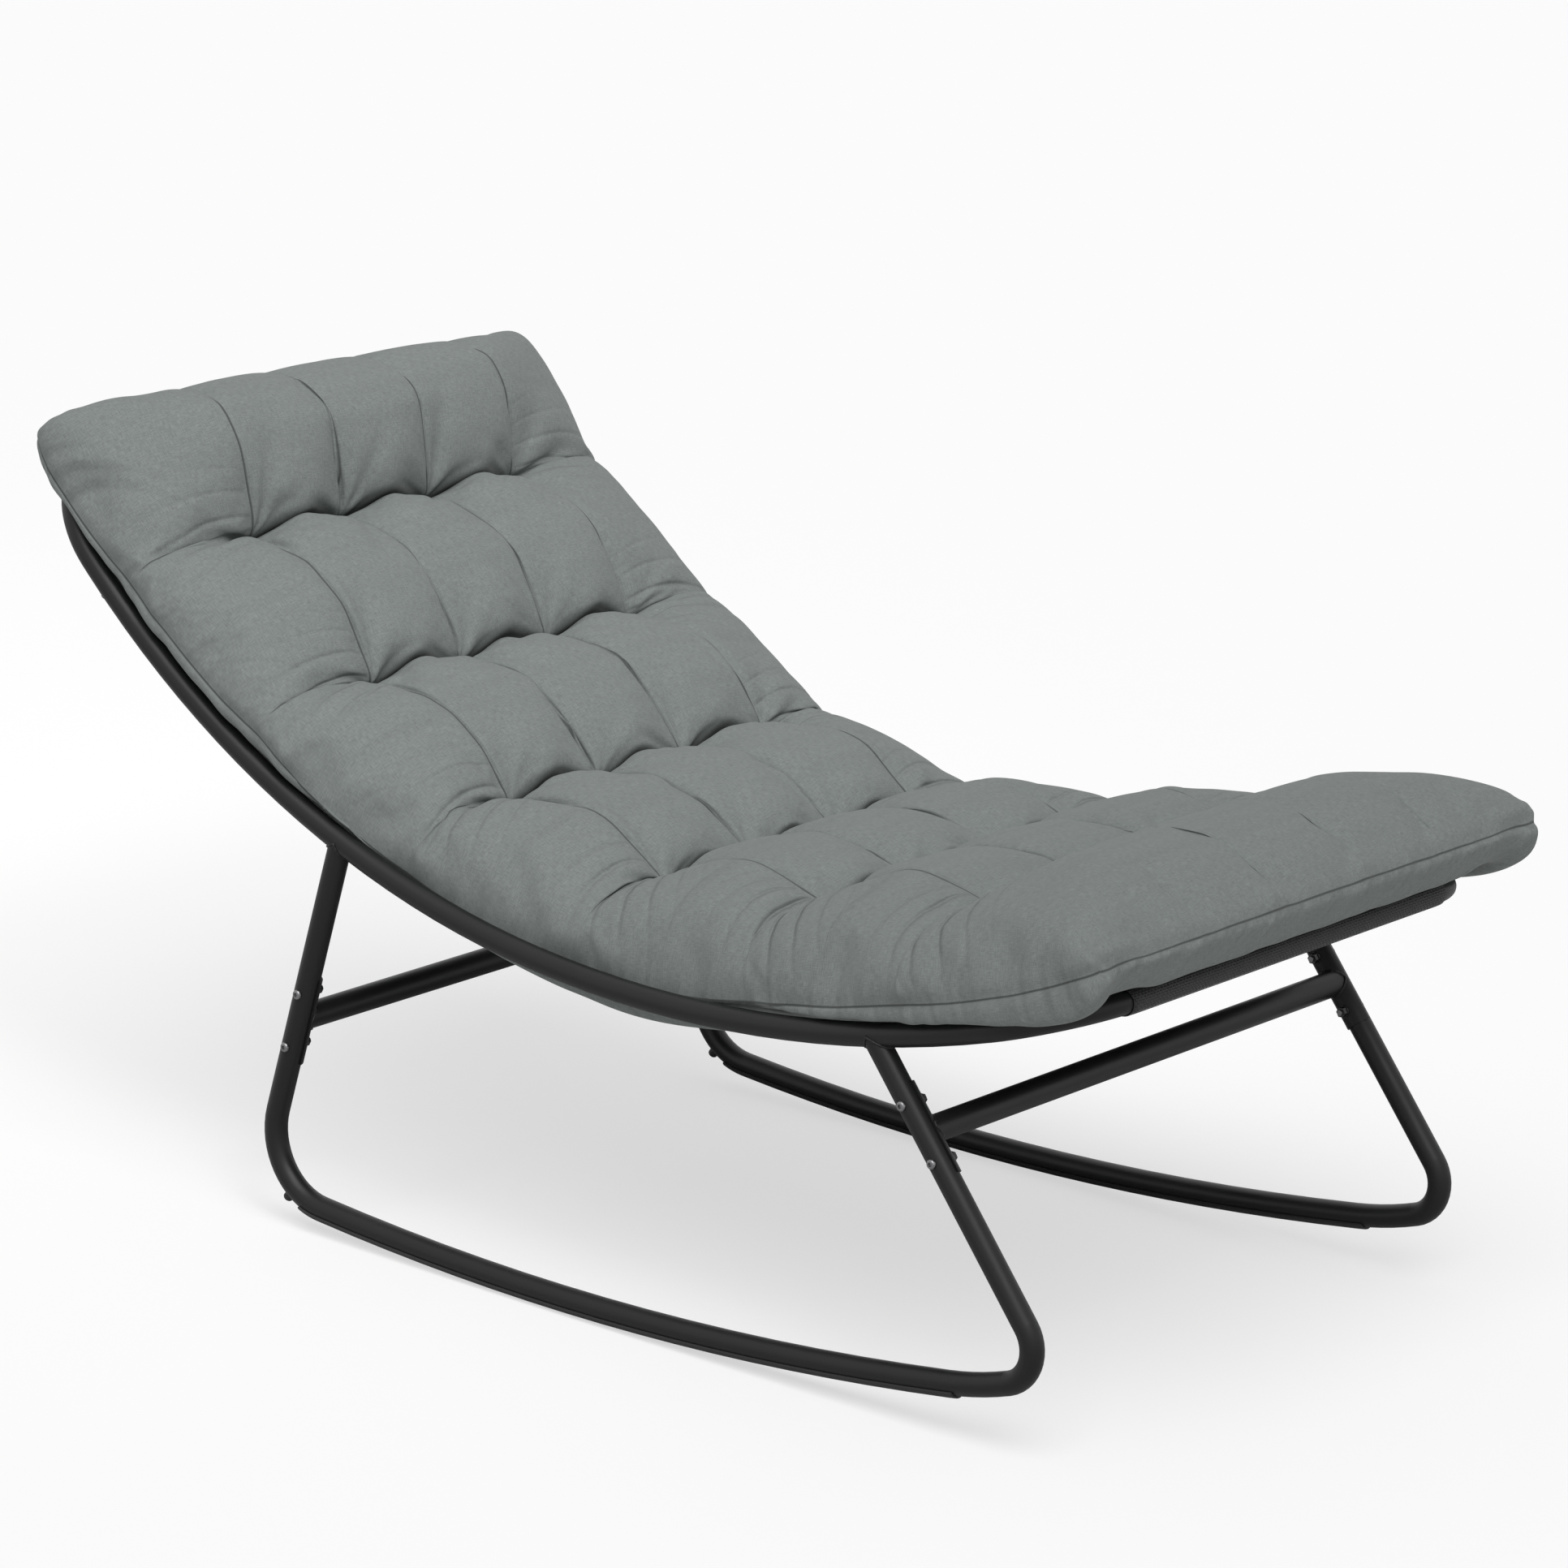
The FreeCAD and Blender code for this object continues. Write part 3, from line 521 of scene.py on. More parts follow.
class LOUNGER_OT_sling(Operator):
    """Stretch the mesh sling between the end rails, wrapped round both in stitched sleeves"""

    bl_idname = "lounger.sling"
    bl_label = "Add the sling"

    def execute(self, context):
        settings = context.scene.lounger_sling
        profile, half, length, near_front = sling_profile(settings)
        across = np.linspace(-1, 1, 73)
        x = across[None, :] * half[:, None]
        y = np.broadcast_to(profile[:, 0, None], x.shape).copy()
        z = np.broadcast_to(profile[:, 1, None], x.shape).copy()
        over = np.clip(np.abs(x) - (RAIL_X - FRONT_CORNER_R), 0, None)
        bend = (FRONT_CORNER_R - np.sqrt(FRONT_CORNER_R ** 2 - over ** 2)) * near_front[:, None]
        y += bend * math.cos(FRONT_ANGLE)
        z += bend * math.sin(FRONT_ANGLE)
        points = leaned(np.stack([x, y, z], -1))
        uv = np.stack([x, np.broadcast_to(length[:, None], x.shape)], -1)
        sheet = mesh_object("mesh_sling", points, grid_faces(*x.shape)[:, ::-1], uv)
        thick = sheet.modifiers.new("yarn_thickness", "SOLIDIFY")
        thick.thickness = settings.thickness
        thick.offset = 0
        sheet.data.materials.append(mesh_cloth(settings))
        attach(sheet, "frame")
        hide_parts("sling")
        return {"FINISHED"}


def sling_profile(settings):
    """Side view line of the sheet: hem, round the front rail, along the arc, round the top rail, hem.
    Returns its points, the half width at each, the length along it and 1 near the front rail."""
    gap = settings.thickness * 1.15
    swing = math.acos(SLEEVE_R / SLEEVE_REACH)
    angles = [math.atan2(p[0] - SLING_CENTRE[0], SLING_CENTRE[1] - p[1]) for p in (FRONT_RAIL, TOP_RAIL)]
    step = SLEEVE_REACH / SLING_R
    band_turn = np.linspace(angles[0] + step, angles[1] - step, 150)
    band = SLING_CENTRE + SLING_R * np.stack([np.sin(band_turn), -np.cos(band_turn)], 1)

    def wrap(rail, inward):
        """Tangent from the stitch line on the band, round the rail and back under the band to the hem."""
        e1 = inward / np.hypot(*inward)
        e2 = np.array([-e1[1], e1[0]]) * (1 if e1[0] > 0 else -1)
        turn = np.linspace(swing, 2 * np.pi - swing, 40)
        ring = rail + SLEEVE_R * (np.cos(turn)[:, None] * e1 + np.sin(turn)[:, None] * e2)
        share = np.linspace(0, 1, 9)[1:-1, None]
        stitch = rail + e1 * SLEEVE_REACH
        under = stitch - e2 * gap
        down = stitch + (ring[0] - stitch) * share
        back = ring[-1] + (under - ring[-1]) * share
        tail = under + e1 * SLEEVE_HEM * np.linspace(0, 1, 5)[:, None]
        return np.concatenate([down, ring, back, tail])

    front = wrap(FRONT_RAIL, band[0] - FRONT_RAIL)[::-1]
    top = wrap(TOP_RAIL, band[-1] - TOP_RAIL)
    profile = np.concatenate([front, band, top])
    length = np.concatenate([[0], np.cumsum(np.hypot(*np.diff(profile, axis=0).T))])
    share = np.clip((profile[:, 0] - FRONT_RAIL[0]) / (TOP_RAIL[0] - FRONT_RAIL[0]), 0, 1)
    half = settings.front_half + (settings.top_half - settings.front_half) * share
    distance = np.hypot(*(profile - FRONT_RAIL).T)
    near_front = np.clip(1 - (distance - 0.02) / 0.05, 0, 1)
    return profile, half, length, near_front


def mesh_cloth(settings):
    """Open coated mesh: round yarns with clear gaps between them, with painted shade and highlight on their
    rounding.
    """
    material, tree, shader = new_material("coated_mesh", Roughness=0.55)
    n = Nodes(tree)
    uv = n.add("ShaderNodeUVMap", uv_map="cloth").outputs[0]
    weave = placed(n, weave_group(), Vector=uv, Pitch=settings.pitch)
    # Painted shade and highlight: each yarn is drawn at a quarter of its colour at its edges and dips, and at
    # one and a half times on its crown
    colour = n.mix(weave["Height"], tinted(settings.thread, 0.25), tinted(settings.thread, 1.5))
    n.put(colour, shader.inputs["Base Color"])
    n.put(n.math("SUBTRACT", 1.0, weave["Gap"]), shader.inputs["Alpha"])
    n.put(n.bump(weave["Height"], 0.8, 0.0008), shader.inputs["Normal"])
    return material


# Cushion: places are lengths along the side rail line from its lowest point, heights are square to that line
CUSHION_FRONT = -0.547
CUSHION_TOP = 1.081
TOP_SEAM = 1.058
TUFT_ROWS = np.linspace(-0.290, 0.875, 6)
ROW_PITCH = TUFT_ROWS[1] - TUFT_ROWS[0]
COLUMN_PITCH = 0.139
TUFT_COLUMNS = COLUMN_PITCH * np.array([-1.5, -0.5, 0.5, 1.5])
OUTER_COLUMN = TUFT_COLUMNS[-1]

# Cells between two tuft columns, from the outer column to the edge, between two rows and past the end rows
INNER_STEPS = 20
OUTER_STEPS = 27
ROW_STEPS = 33
FRONT_STEPS = 40
TOP_STEPS = 30

# Places and heights: tufts, crowns above the tufts, edge seam, strip below it and cloth over the rail
TUFT_LEVEL = ([-0.547, -0.290, -0.057, 0.176, 0.409, 0.642, 0.875, 1.054],
              [0.100, 0.105, 0.095, 0.072, 0.074, 0.081, 0.083, 0.086])
CROWN_RISE = ([-0.547, -0.425, -0.175, 0.060, 0.290, 0.525, 0.760, 0.965, 1.054],
              [0.022, 0.024, 0.027, 0.027, 0.031, 0.037, 0.043, 0.051, 0.052])
EDGE_LEVEL = ([-0.547, -0.25, -0.12, 0.05, 0.40, 0.62, 0.80, 0.95, 1.054],
              [0.0365, 0.034, 0.026, 0.003, 0.003, 0.039, 0.040, 0.033, 0.033])
STRIP_LEVEL = ([-0.547, -0.45, -0.35, -0.24, -0.10, 0.40, 0.60, 1.054],
               [-0.007, -0.002, 0.010, 0.017, 0.0155, 0.0155, 0.027, 0.023])
OVER_RAIL = ([-0.475, -0.440, -0.415, -0.39], [-0.004, -0.002, 0.012, 0.0155])
# Places and half widths: edge seam and flat of the belly
EDGE_HALF = ([-0.547, -0.30, -0.05, 0.05, 0.40, 0.60, 0.92, 1.054],
             [0.382, 0.378, 0.345, 0.335, 0.335, 0.366, 0.366, 0.378])
BELLY_HALF = ([-0.25, 0.0, 0.08], [0.245, 0.262, 0.300])
# For each tuft row from foot to head: how far the roll above it hangs over it, and the depth of its fan folds
OVERHANG = np.array([0.005, 0.009, 0.014, 0.014, 0.013, 0.011])
FAN_FOLDS = np.array([0.0050, 0.0055, 0.0045, 0.0030, 0.0024, 0.0018])

# Lengths over which the panels round off to the end seams, and depth and length of the corners' rounding
HEAD_ROUND = 0.070
FOOT_ROUND = 0.085
BOTTOM_ROUND = 0.060
HEAD_CORNER = (0.022, 0.05)
FOOT_CORNER = (0.012, 0.03)
# Exponent of the side's fall to the edge, by half width
SIDE_FALL = ([0.335, 0.366], [0.62, 0.8])
# The head's far corner is cut back, the head is skewed across the rails and its underside is tucked in
HEAD_CUT = 0.024
HEAD_SKEW = 0.024
HEAD_TUCK = 0.012

# Widths and depths of the creases at the tuft rows, and widths of their painted shade
BORDER = 0.06
OUTER_SPAN = 0.17
ROW_PINCH = 0.003
PINCH_LENGTH = 0.03
TIE_DEPTH = 0.010
TIE_LENGTH = 0.010
TIE_WIDTH = 0.045
SLIT_DEPTH = 0.015
SLIT_LENGTH = 0.004
SHADE_UNDER_ROLL = 0.009
TUFT_SHADE = 0.010
HANG_PEAK = 0.06
HELD_ROW = 0.004
HELD_COLUMN = 0.040

# Underside: gaps to the sling and the end rails, sag before the front rail, shoulder beside the side rails
SLING_GAP = 0.0015
RAIL_GAP = 0.0035
FRONT_SAG = 0.016
SHOULDER_LEVEL = 0.0105
SHOULDER_HALF = 0.331

# Seams and folds: the panel seams end at the first row, and the rails hide the edge seam between two places
SEAM_OVERRUN = 0.002
HIDDEN_EDGE = (-0.12, 0.50)
HIDDEN_EASE = 0.05
PANEL_SEAM = (0.0018, 0.004)
EDGE_SEAM = (0.0040, 0.006)
GATHER_HEIGHT = 0.0024
GATHER_REACH = 0.040
GATHER_WAVES = (0.031, 0.043, 0.059, 0.083, 0.127)
TRAIL_LEAN = 0.9
SPOKE_DEPTH = 0.0055
SPOKE_REACH = 0.03
FOLD_SHARE = 0.6
GROOVE_WIDTH = 0.34
PLEAT_HEIGHT = 0.0030
HEAD_PLEAT_HEIGHT = 0.0010
PLEAT_OFFSET = 0.005
PLEAT_SLANT = 0.012
PLEAT_RIDGE = 0.0035
PLEAT_VALLEY = 0.0045
VALLEY_OFFSET = 0.0065


class LOUNGER_OT_cushion(Operator):
    """Sew, stuff and settle the long tufted cushion"""

    bl_idname = "lounger.cushion"
    bl_label = "Add the cushion"

    def execute(self, context):
        settings = context.scene.lounger_cushion
        shape = cushion_panels()
        cushion = mesh_object("tufted_cushion", leaned(shape.points), shape.faces, shape.uv)
        for name, values in shape.layers.items():
            layer = cushion.data.attributes.new(name, "FLOAT", "POINT")
            layer.data.foreach_set("value", values)
        settle(cushion, shape, settings)
        sew(cushion, shape)
        smooth = cushion.modifiers.new("smooth_cloth", "SUBSURF")
        smooth.levels = smooth.render_levels = 1
        cushion.data.materials.append(cushion_cloth(settings))
        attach(cushion, "cushion")
        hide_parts("cushion")
        return {"FINISHED"}


def quarter_round(share, power=2.0):
    """0 at an end seam, rising as a quarter of a superellipse to 1 at full depth."""
    return (1 - (1 - np.clip(share, 0, 1)) ** power) ** (1 / power)


def ease_in(share):
    """Smooth step from 0 to 1."""
    share = np.clip(share, 0, 1)
    return share * share * (3 - 2 * share)


def pillow(share):
    """Rise between two tuft lines: 0 on either line, 1 midway, steep at the lines."""
    return np.clip(1 - np.abs(2 * np.clip(share, 0, 1) - 1) ** 2, 0, 1) ** 0.8


def groove(phase):
    """Narrow rounded groove once a turn of the phase, 1 deep."""
    return -np.exp(-(np.sin(phase / 2) / GROOVE_WIDTH) ** 2)


def ripple(place, seed):
    """Uneven wave of height about 1 along a length, from sine waves of unrelated lengths."""
    total = 0
    for k, wave in enumerate(GATHER_WAVES):
        total = total + np.sin(2 * np.pi * place / wave + seed * (k + 1.7)) * (0.6 + 0.1 * k)
    return total / 2.2


def curve_through(place, knots):
    """Smooth curve through knots: straight pieces averaged over a window of 90 mm."""
    window = np.linspace(-0.045, 0.045, 9)
    return np.mean([np.interp(place + w, *knots) for w in window], axis=0)


def crowded(ends, steps):
    """Values from one to the other of each pair of ends, closer together near the ends."""
    share = np.linspace(0, 1, steps + 1)[1:]
    share = share - 0.82 * np.sin(2 * np.pi * share) / (2 * np.pi)
    return np.concatenate([a + (b - a) * share for a, b in zip(ends[:-1], ends[1:])])


def cushion_stations():
    """Lengths along the cushion, closer together at the tuft rows and both end seams."""
    front = crowded([CUSHION_FRONT, TUFT_ROWS[0]], FRONT_STEPS)
    top = crowded([TUFT_ROWS[-1], CUSHION_TOP], TOP_STEPS)
    return np.concatenate([[CUSHION_FRONT], front, crowded(TUFT_ROWS, ROW_STEPS), top])


def sling_height(place):
    """Height of the sling over the rail line, square to it: the sling circle cut by the line's normal."""
    base = on_rail(0.0, place, 0.0)[..., 1:]
    angle = rail_angle(place)
    up = np.stack([-np.sin(angle), np.cos(angle)], -1)
    offset = base - SLING_CENTRE
    half = (offset * up).sum(-1)
    return -half - np.sqrt(half ** 2 - (offset ** 2).sum(-1) + (SLING_R - SLING_GAP) ** 2)


def underside(place):
    """Height of the cushion's underside: on the sling, eased up over both end rails."""
    front_start, top_start = TUFT_ROWS[0] + ROW_PITCH / 2, TUFT_ROWS[-1] - ROW_PITCH / 2
    lift = np.maximum(ease_in((front_start - place) / (front_start - FRONT_PLACE)),
                      ease_in((place - top_start) / (TOP_PLACE - top_start)))
    low = sling_height(place)
    return low + (TUBE_R + RAIL_GAP - low) * lift


def cushion_grid():
    """Stations along by columns across, with the edge seam's place and the panels' rounding at each.
    side and end fall from 1 to 0 at the edges, and rounding is their smooth least,
    (side^-2 + end^-2 - 1)^-1/2."""
    g = SimpleNamespace(place=cushion_stations()[:, None])
    g.end_distance = np.minimum(g.place - CUSHION_FRONT, CUSHION_TOP - g.place)
    g.at_head = g.place > TUFT_ROWS[-1]
    g.end = np.where(g.at_head, quarter_round(g.end_distance / HEAD_ROUND, 3.0),
                     quarter_round(g.end_distance / FOOT_ROUND))
    g.pull = (CUSHION_TOP - TOP_SEAM) * (1 - g.end) ** 2 * g.at_head
    g.row_gap = np.abs(g.place - TUFT_ROWS).min(-1)[:, None]
    corners = (HEAD_CORNER, FOOT_CORNER)
    head, foot = [depth * (1 - quarter_round(g.end_distance / length)) for depth, length in corners]
    pinch = ROW_PINCH * np.exp(-(g.row_gap / PINCH_LENGTH) ** 2)
    g.edge_x = curve_through(g.place, EDGE_HALF) - np.where(g.at_head, head, foot) - pinch
    g.edge_n = curve_through(g.place, EDGE_LEVEL)

    turn = np.linspace(0, 1, OUTER_STEPS + 1)[1:][None, :] * np.pi / 2
    inner = np.concatenate([[-OUTER_COLUMN], crowded(TUFT_COLUMNS, INNER_STEPS)])[None, :]
    g.inner = np.broadcast_to(inner, (len(g.place), inner.shape[1]))
    right = OUTER_COLUMN + (g.edge_x - OUTER_COLUMN) * np.sin(turn) ** 0.95
    g.x = np.concatenate([-right[:, ::-1], g.inner, right], 1)
    fall = np.cos(turn) ** np.interp(g.edge_x, *SIDE_FALL)
    g.side = np.concatenate([fall[:, ::-1], np.ones(g.inner.shape), fall], 1)
    g.side[:, [0, -1]] = 0
    least = np.maximum(g.side, 1e-4) ** -2 + np.maximum(g.end, 1e-4) ** -2 - 1
    g.rounding = np.where((g.side <= 0) | (g.end <= 0), 0, np.maximum(least, 1) ** -0.5)

    g.past = np.abs(g.x) - OUTER_COLUMN
    g.inside = np.clip(1 - g.past / BORDER, 0, 1)
    g.column_gap = np.abs(g.x[:, :, None] - TUFT_COLUMNS).min(-1)
    outer_share = np.minimum(g.column_gap / OUTER_SPAN, 0.5)
    g.across = pillow(np.where(g.past > 0, outer_share, g.column_gap / COLUMN_PITCH))
    g.crease = np.where(g.past > 0, 0.35 * g.inside, 0.35 + 0.65 * g.across)
    return g


def top_line(g):
    """Place and height of the top panel.
    height = edge + (tuft level + crown * blend - crease - edge) * rounding, where
    blend = on_row c (1 - a) + on_seam a (1 - c) + a c for the pillow curves a along and c across.
    Above each row the cloth is drawn to the foot by overhang * u * e^(1 - u), where u rises from the row."""
    past_ends = (g.place < TUFT_ROWS[0]) | (g.place > TUFT_ROWS[-1])
    along = pillow(np.minimum(g.row_gap / ROW_PITCH, np.where(past_ends, 0.5, 1)))
    along = along ** (1 - 0.42 * g.inside)
    on_seam = 0.70 + 0.26 * ease_in((TUFT_ROWS[0] - g.place) / 0.09) + 0.27 * ease_in((g.place - 0.90) / 0.10)
    on_row = 0.42 + 0.20 * np.clip(g.past / 0.08, 0, 1)
    blend = on_row * g.across * (1 - along) + on_seam * along * (1 - g.across) + along * g.across
    crown = curve_through(g.place, CROWN_RISE) * (1 - 0.2 * np.clip(g.past / BORDER, 0, 1))
    tied = np.exp(-g.row_gap / TIE_LENGTH) * np.exp(-(g.column_gap / TIE_WIDTH) ** 2)
    slit = np.exp(-g.row_gap / SLIT_LENGTH) * g.crease
    crease = (TIE_DEPTH * tied + SLIT_DEPTH * slit) * np.clip(g.side * 2, 0, 1)
    level = curve_through(g.place, TUFT_LEVEL)
    height = g.edge_n + (level + crown * blend - crease - g.edge_n) * g.rounding

    row = np.clip(np.searchsorted(TUFT_ROWS, g.place) - 1, 0, len(TUFT_ROWS) - 1)
    up = np.clip((g.place - TUFT_ROWS[row]) / ROW_PITCH, 0, 1) / HANG_PEAK
    hang = OVERHANG[row] * up * np.exp(1 - up) * (g.place >= TUFT_ROWS[0])
    reach = (0.55 + 0.45 * np.exp(-(g.column_gap / 0.04) ** 2)) * np.clip(g.side, 0, 1)
    return g.place - hang * reach - g.pull, height


def bottom_line(g):
    """Width, place and height of the bottom panel: from the edge seam down the strip, in over the rail,
    round the belly's corner and flat on the sling, drawn up to the seam at both ends."""
    strip = np.minimum(curve_through(g.place, STRIP_LEVEL), g.edge_n - 0.004)
    over_rail = np.minimum(np.interp(g.place, *OVER_RAIL), g.edge_n - 0.005)
    low = underside(np.minimum(g.place, TOP_SEAM))
    low = low - FRONT_SAG * np.exp(-((g.place - CUSHION_FRONT - 0.030) / 0.020) ** 2)
    shoulder = np.minimum(np.maximum(SHOULDER_LEVEL, low + 0.004), g.edge_n - 0.008)
    drop = shoulder - low
    belly = curve_through(g.place, BELLY_HALF)
    shoulder_x = np.minimum(SHOULDER_HALF, g.edge_x - 0.010)
    corner_x = np.minimum(belly + 0.032, shoulder_x - 0.002)
    under_x, under_n = through_knots([
        (0.00, g.edge_x, g.edge_n),
        (0.16, g.edge_x - 0.004, strip),
        (0.30, np.minimum(RAIL_X, g.edge_x - 0.007), over_rail),
        (0.42, shoulder_x, shoulder),
        (0.52, corner_x, shoulder - drop * 0.45),
        (0.62, np.minimum(belly + 0.018, corner_x - 0.004), shoulder - drop * 0.85),
        (0.72, belly, low),
        (1.00, np.full_like(belly, OUTER_COLUMN), low),
    ])
    flat = g.inner[:, 1:-1]
    x = np.concatenate([-under_x, flat, under_x[:, ::-1]], 1)
    height = np.concatenate([under_n, np.broadcast_to(low, flat.shape), under_n[:, ::-1]], 1)
    end = quarter_round(g.end_distance / BOTTOM_ROUND)
    place = g.place - g.pull - HEAD_TUCK * g.at_head * ease_in((g.place - 1.0) / 0.06) * end
    return g.x + (x - g.x) * end, place, g.edge_n + (height - g.edge_n) * end


def through_knots(knots):
    """Two lines, each through its own values of the knots, at every cell from the edge to the outer tufts.
    A knot is its share of the way and two columns of values. Inner cells are averaged 1 2 1."""
    at = np.array([knot[0] for knot in knots])
    share = np.linspace(0, 1, OUTER_STEPS + 1)
    k = np.clip(np.searchsorted(at, share, side="right") - 1, 0, len(at) - 2)
    w = (share - at[k]) / (at[k + 1] - at[k])
    lines = []
    for column in (1, 2):
        values = np.concatenate([knot[column] for knot in knots], 1)
        line = values[:, k] * (1 - w) + values[:, k + 1] * w
        line[:, 1:-1] = (line[:, :-2] + 2 * line[:, 1:-1] + line[:, 2:]) / 4
        lines.append(line)
    return lines


def head_trimmed(g, x, place, height):
    """Points of a panel, with the head's far corner cut back and the head skewed across the rails."""
    cut = HEAD_CUT * g.at_head * (1 - quarter_round(g.end_distance / 0.09))
    skew = HEAD_SKEW * g.at_head * ease_in((g.place - TUFT_ROWS[-1]) / 0.15)
    return on_rail(x - cut * np.clip(x / g.edge_x, 0, 1) ** 4, place - skew * x, height)


def both(upper, under):
    """Values of all points of the top panel, then of the bottom panel's points inside the edge seam."""
    rows, columns = upper.shape[:2]
    inside = under[1:-1, 1:-1]
    return np.concatenate([upper.reshape(rows * columns, -1), inside.reshape((rows - 2) * (columns - 2), -1)])


def cushion_panels():
    """Top and bottom panels sewn at a knife edge: points, faces, cloth coordinates, the points that are held,
    and the layers of distances that the seams, creases and folds are drawn from, and of the painted shade in
    the creases."""
    g = cushion_grid()
    top = head_trimmed(g, g.x, *top_line(g))
    bottom_x, *bottom_rest = bottom_line(g)
    bottom = head_trimmed(g, bottom_x, *bottom_rest)
    rows, columns = g.x.shape
    lower = np.arange(rows * columns).reshape(rows, columns)
    lower[1:-1, 1:-1] = rows * columns + np.arange((rows - 2) * (columns - 2)).reshape(rows - 2, columns - 2)
    quads = grid_faces(rows, columns)
    past_seams = np.broadcast_to(g.place < TUFT_ROWS[0] - SEAM_OVERRUN, g.x.shape)
    edge_gap = from_edges(top)
    phase, size = fan_folds(g)
    none = np.zeros(g.x.shape)
    layers = {
        "edge_gap": both(edge_gap, from_edges(bottom)),
        "panel_gap": both(np.where(past_seams, 1, g.column_gap), none + 1),
        # The depth layer is painted shade: how dark the creases and tufts are drawn in the cloth's colour
        "depth": both(crease_shade(g), none),
        "trail": both(g.place + TRAIL_LEAN * g.x, g.place + TRAIL_LEAN * bottom_x),
        "fold_phase": both(phase, none),
        "fold_size": both(size, none),
    }
    held = (g.row_gap < HELD_ROW) & (g.column_gap < HELD_COLUMN) | (edge_gap == 0)
    return SimpleNamespace(
        grid=g, points=both(top, bottom), faces=np.concatenate([quads, lower.ravel()[quads][:, ::-1]]),
        uv=both(laid_flat(top), laid_flat(bottom)), held=both(held, np.ones(g.x.shape, bool)).ravel(),
        layers={name: values.ravel() for name, values in layers.items()})


def crease_shade(g):
    """Painted shade of the creases at the tuft rows, wider under the roll above a row, and of the tufts."""
    nearest = TUFT_ROWS[np.abs(g.place - TUFT_ROWS).argmin(-1)][:, None]
    dark = np.exp(-g.row_gap / np.where(g.place > nearest, SHADE_UNDER_ROLL, SLIT_LENGTH)) * g.crease
    return np.maximum(dark, 0.6 * np.exp(-np.hypot(g.row_gap, g.column_gap) / TUFT_SHADE))


def fan_folds(g):
    """Folds that run from the outer tufts of each row to the edge: phase across the folds, and their depth.
    The folds bow towards the foot and spread from 20 mm apart at the tuft to 38 mm at the edge."""
    row = np.abs(g.place - TUFT_ROWS).argmin(-1)[:, None]
    out = np.clip(g.past / g.past[:, :1], 0, 1)
    bow = g.place - TUFT_ROWS[row] + 0.030 * out ** 2
    phase = 2 * np.pi * bow / (0.020 + 0.018 * out) + 2.9 * row + 1.7 * np.sign(g.x)
    return phase, FAN_FOLDS[row] * np.sin(np.pi * out) ** 0.6 * np.exp(-(bow / 0.065) ** 2)


def from_edges(panel):
    """Length over a panel's surface to its nearest edge, along or across."""
    gaps = []
    for axis in (0, 1):
        run = np.linalg.norm(np.diff(panel, axis=axis), axis=-1).cumsum(axis)
        run = np.insert(run, 0, 0, axis=axis)
        gaps += [run, np.take(run, [-1], axis=axis) - run]
    return np.minimum.reduce(gaps)


def laid_flat(panel):
    """Cloth coordinates of a panel in metres: lengths over its surface across from the middle and along."""
    across = np.linalg.norm(np.diff(panel, axis=1), axis=-1)
    u = np.concatenate([np.zeros((len(panel), 1)), across.cumsum(1)], 1)
    u -= u[:, [u.shape[1] // 2]]
    middle = panel[:, panel.shape[1] // 2]
    v = np.concatenate([[0], np.linalg.norm(np.diff(middle, axis=0), axis=-1).cumsum()])
    return np.stack([u, np.broadcast_to(v[:, None], u.shape)], -1)


def blurred(field, cells):
    """Gaussian average of a grid of vectors over a number of cells, taken as zero outside the grid."""
    reach = int(3 * cells)
    taps = np.arange(-reach, reach + 1)
    weights = np.exp(-0.5 * (taps / cells) ** 2)
    weights /= weights.sum()
    for axis in (0, 1):
        pad = [(0, 0)] * field.ndim
        pad[axis] = (reach, reach)
        wide = np.pad(field, pad)
        size = field.shape[axis]
        field = sum(w * np.take(wide, range(k, k + size), axis) for k, w in enumerate(weights))
    return field


def vertex_values(mesh, name):
    """One vector of each vertex, such as its place or its normal."""
    values = np.empty(len(mesh.vertices) * 3, np.float32)
    mesh.vertices.foreach_get(name, values)
    return values.reshape(-1, 3)


def settle(cushion, shape, settings):
    """Cloth run: the filling swells the spare cloth of the top panel between its tufts and seams.
    The broad part of the swell is taken out, so that the cushion keeps its sewn size, and no point
    moves further than the cap."""
    mesh = cushion.data
    start = vertex_values(mesh, "co")
    group = cushion.vertex_groups.new(name="held")
    group.add(np.flatnonzero(shape.held).tolist(), 1.0, "REPLACE")
    cloth = cushion.modifiers.new("filling", "CLOTH")
    run = cloth.settings
    run.quality = 5
    run.mass = 0.25
    run.tension_stiffness = run.compression_stiffness = 12
    run.shear_stiffness = 4
    run.bending_stiffness = 0.8
    run.tension_damping = run.compression_damping = 6
    run.air_damping = 3
    run.vertex_group_mass = "held"
    run.use_pressure = True
    run.uniform_pressure_force = settings.pressure
    run.shrink_min = run.shrink_max = -settings.ease
    run.effector_weights.gravity = 0
    cloth.collision_settings.use_collision = False
    scene = bpy.context.scene
    first = scene.frame_current
    for step in range(1, settings.frames + 1):
        scene.frame_set(step)
    settled = cushion.evaluated_get(bpy.context.evaluated_depsgraph_get())
    move = vertex_values(settled.data, "co") - start
    rows, columns = shape.grid.x.shape
    top = move[:rows * columns].reshape(rows, columns, 3)
    top = blurred(top, 0.8) - blurred(top, settings.broad)
    far = np.linalg.norm(top, axis=-1, keepdims=True)
    top *= np.minimum(1, settings.cap / np.maximum(far, 1e-9))
    move[:] = 0
    move[:rows * columns] = top.reshape(-1, 3)
    cushion.modifiers.remove(cloth)
    cushion.vertex_groups.remove(group)
    scene.frame_set(first)
    mesh.vertices.foreach_set("co", (start + move).ravel())
    mesh.update()


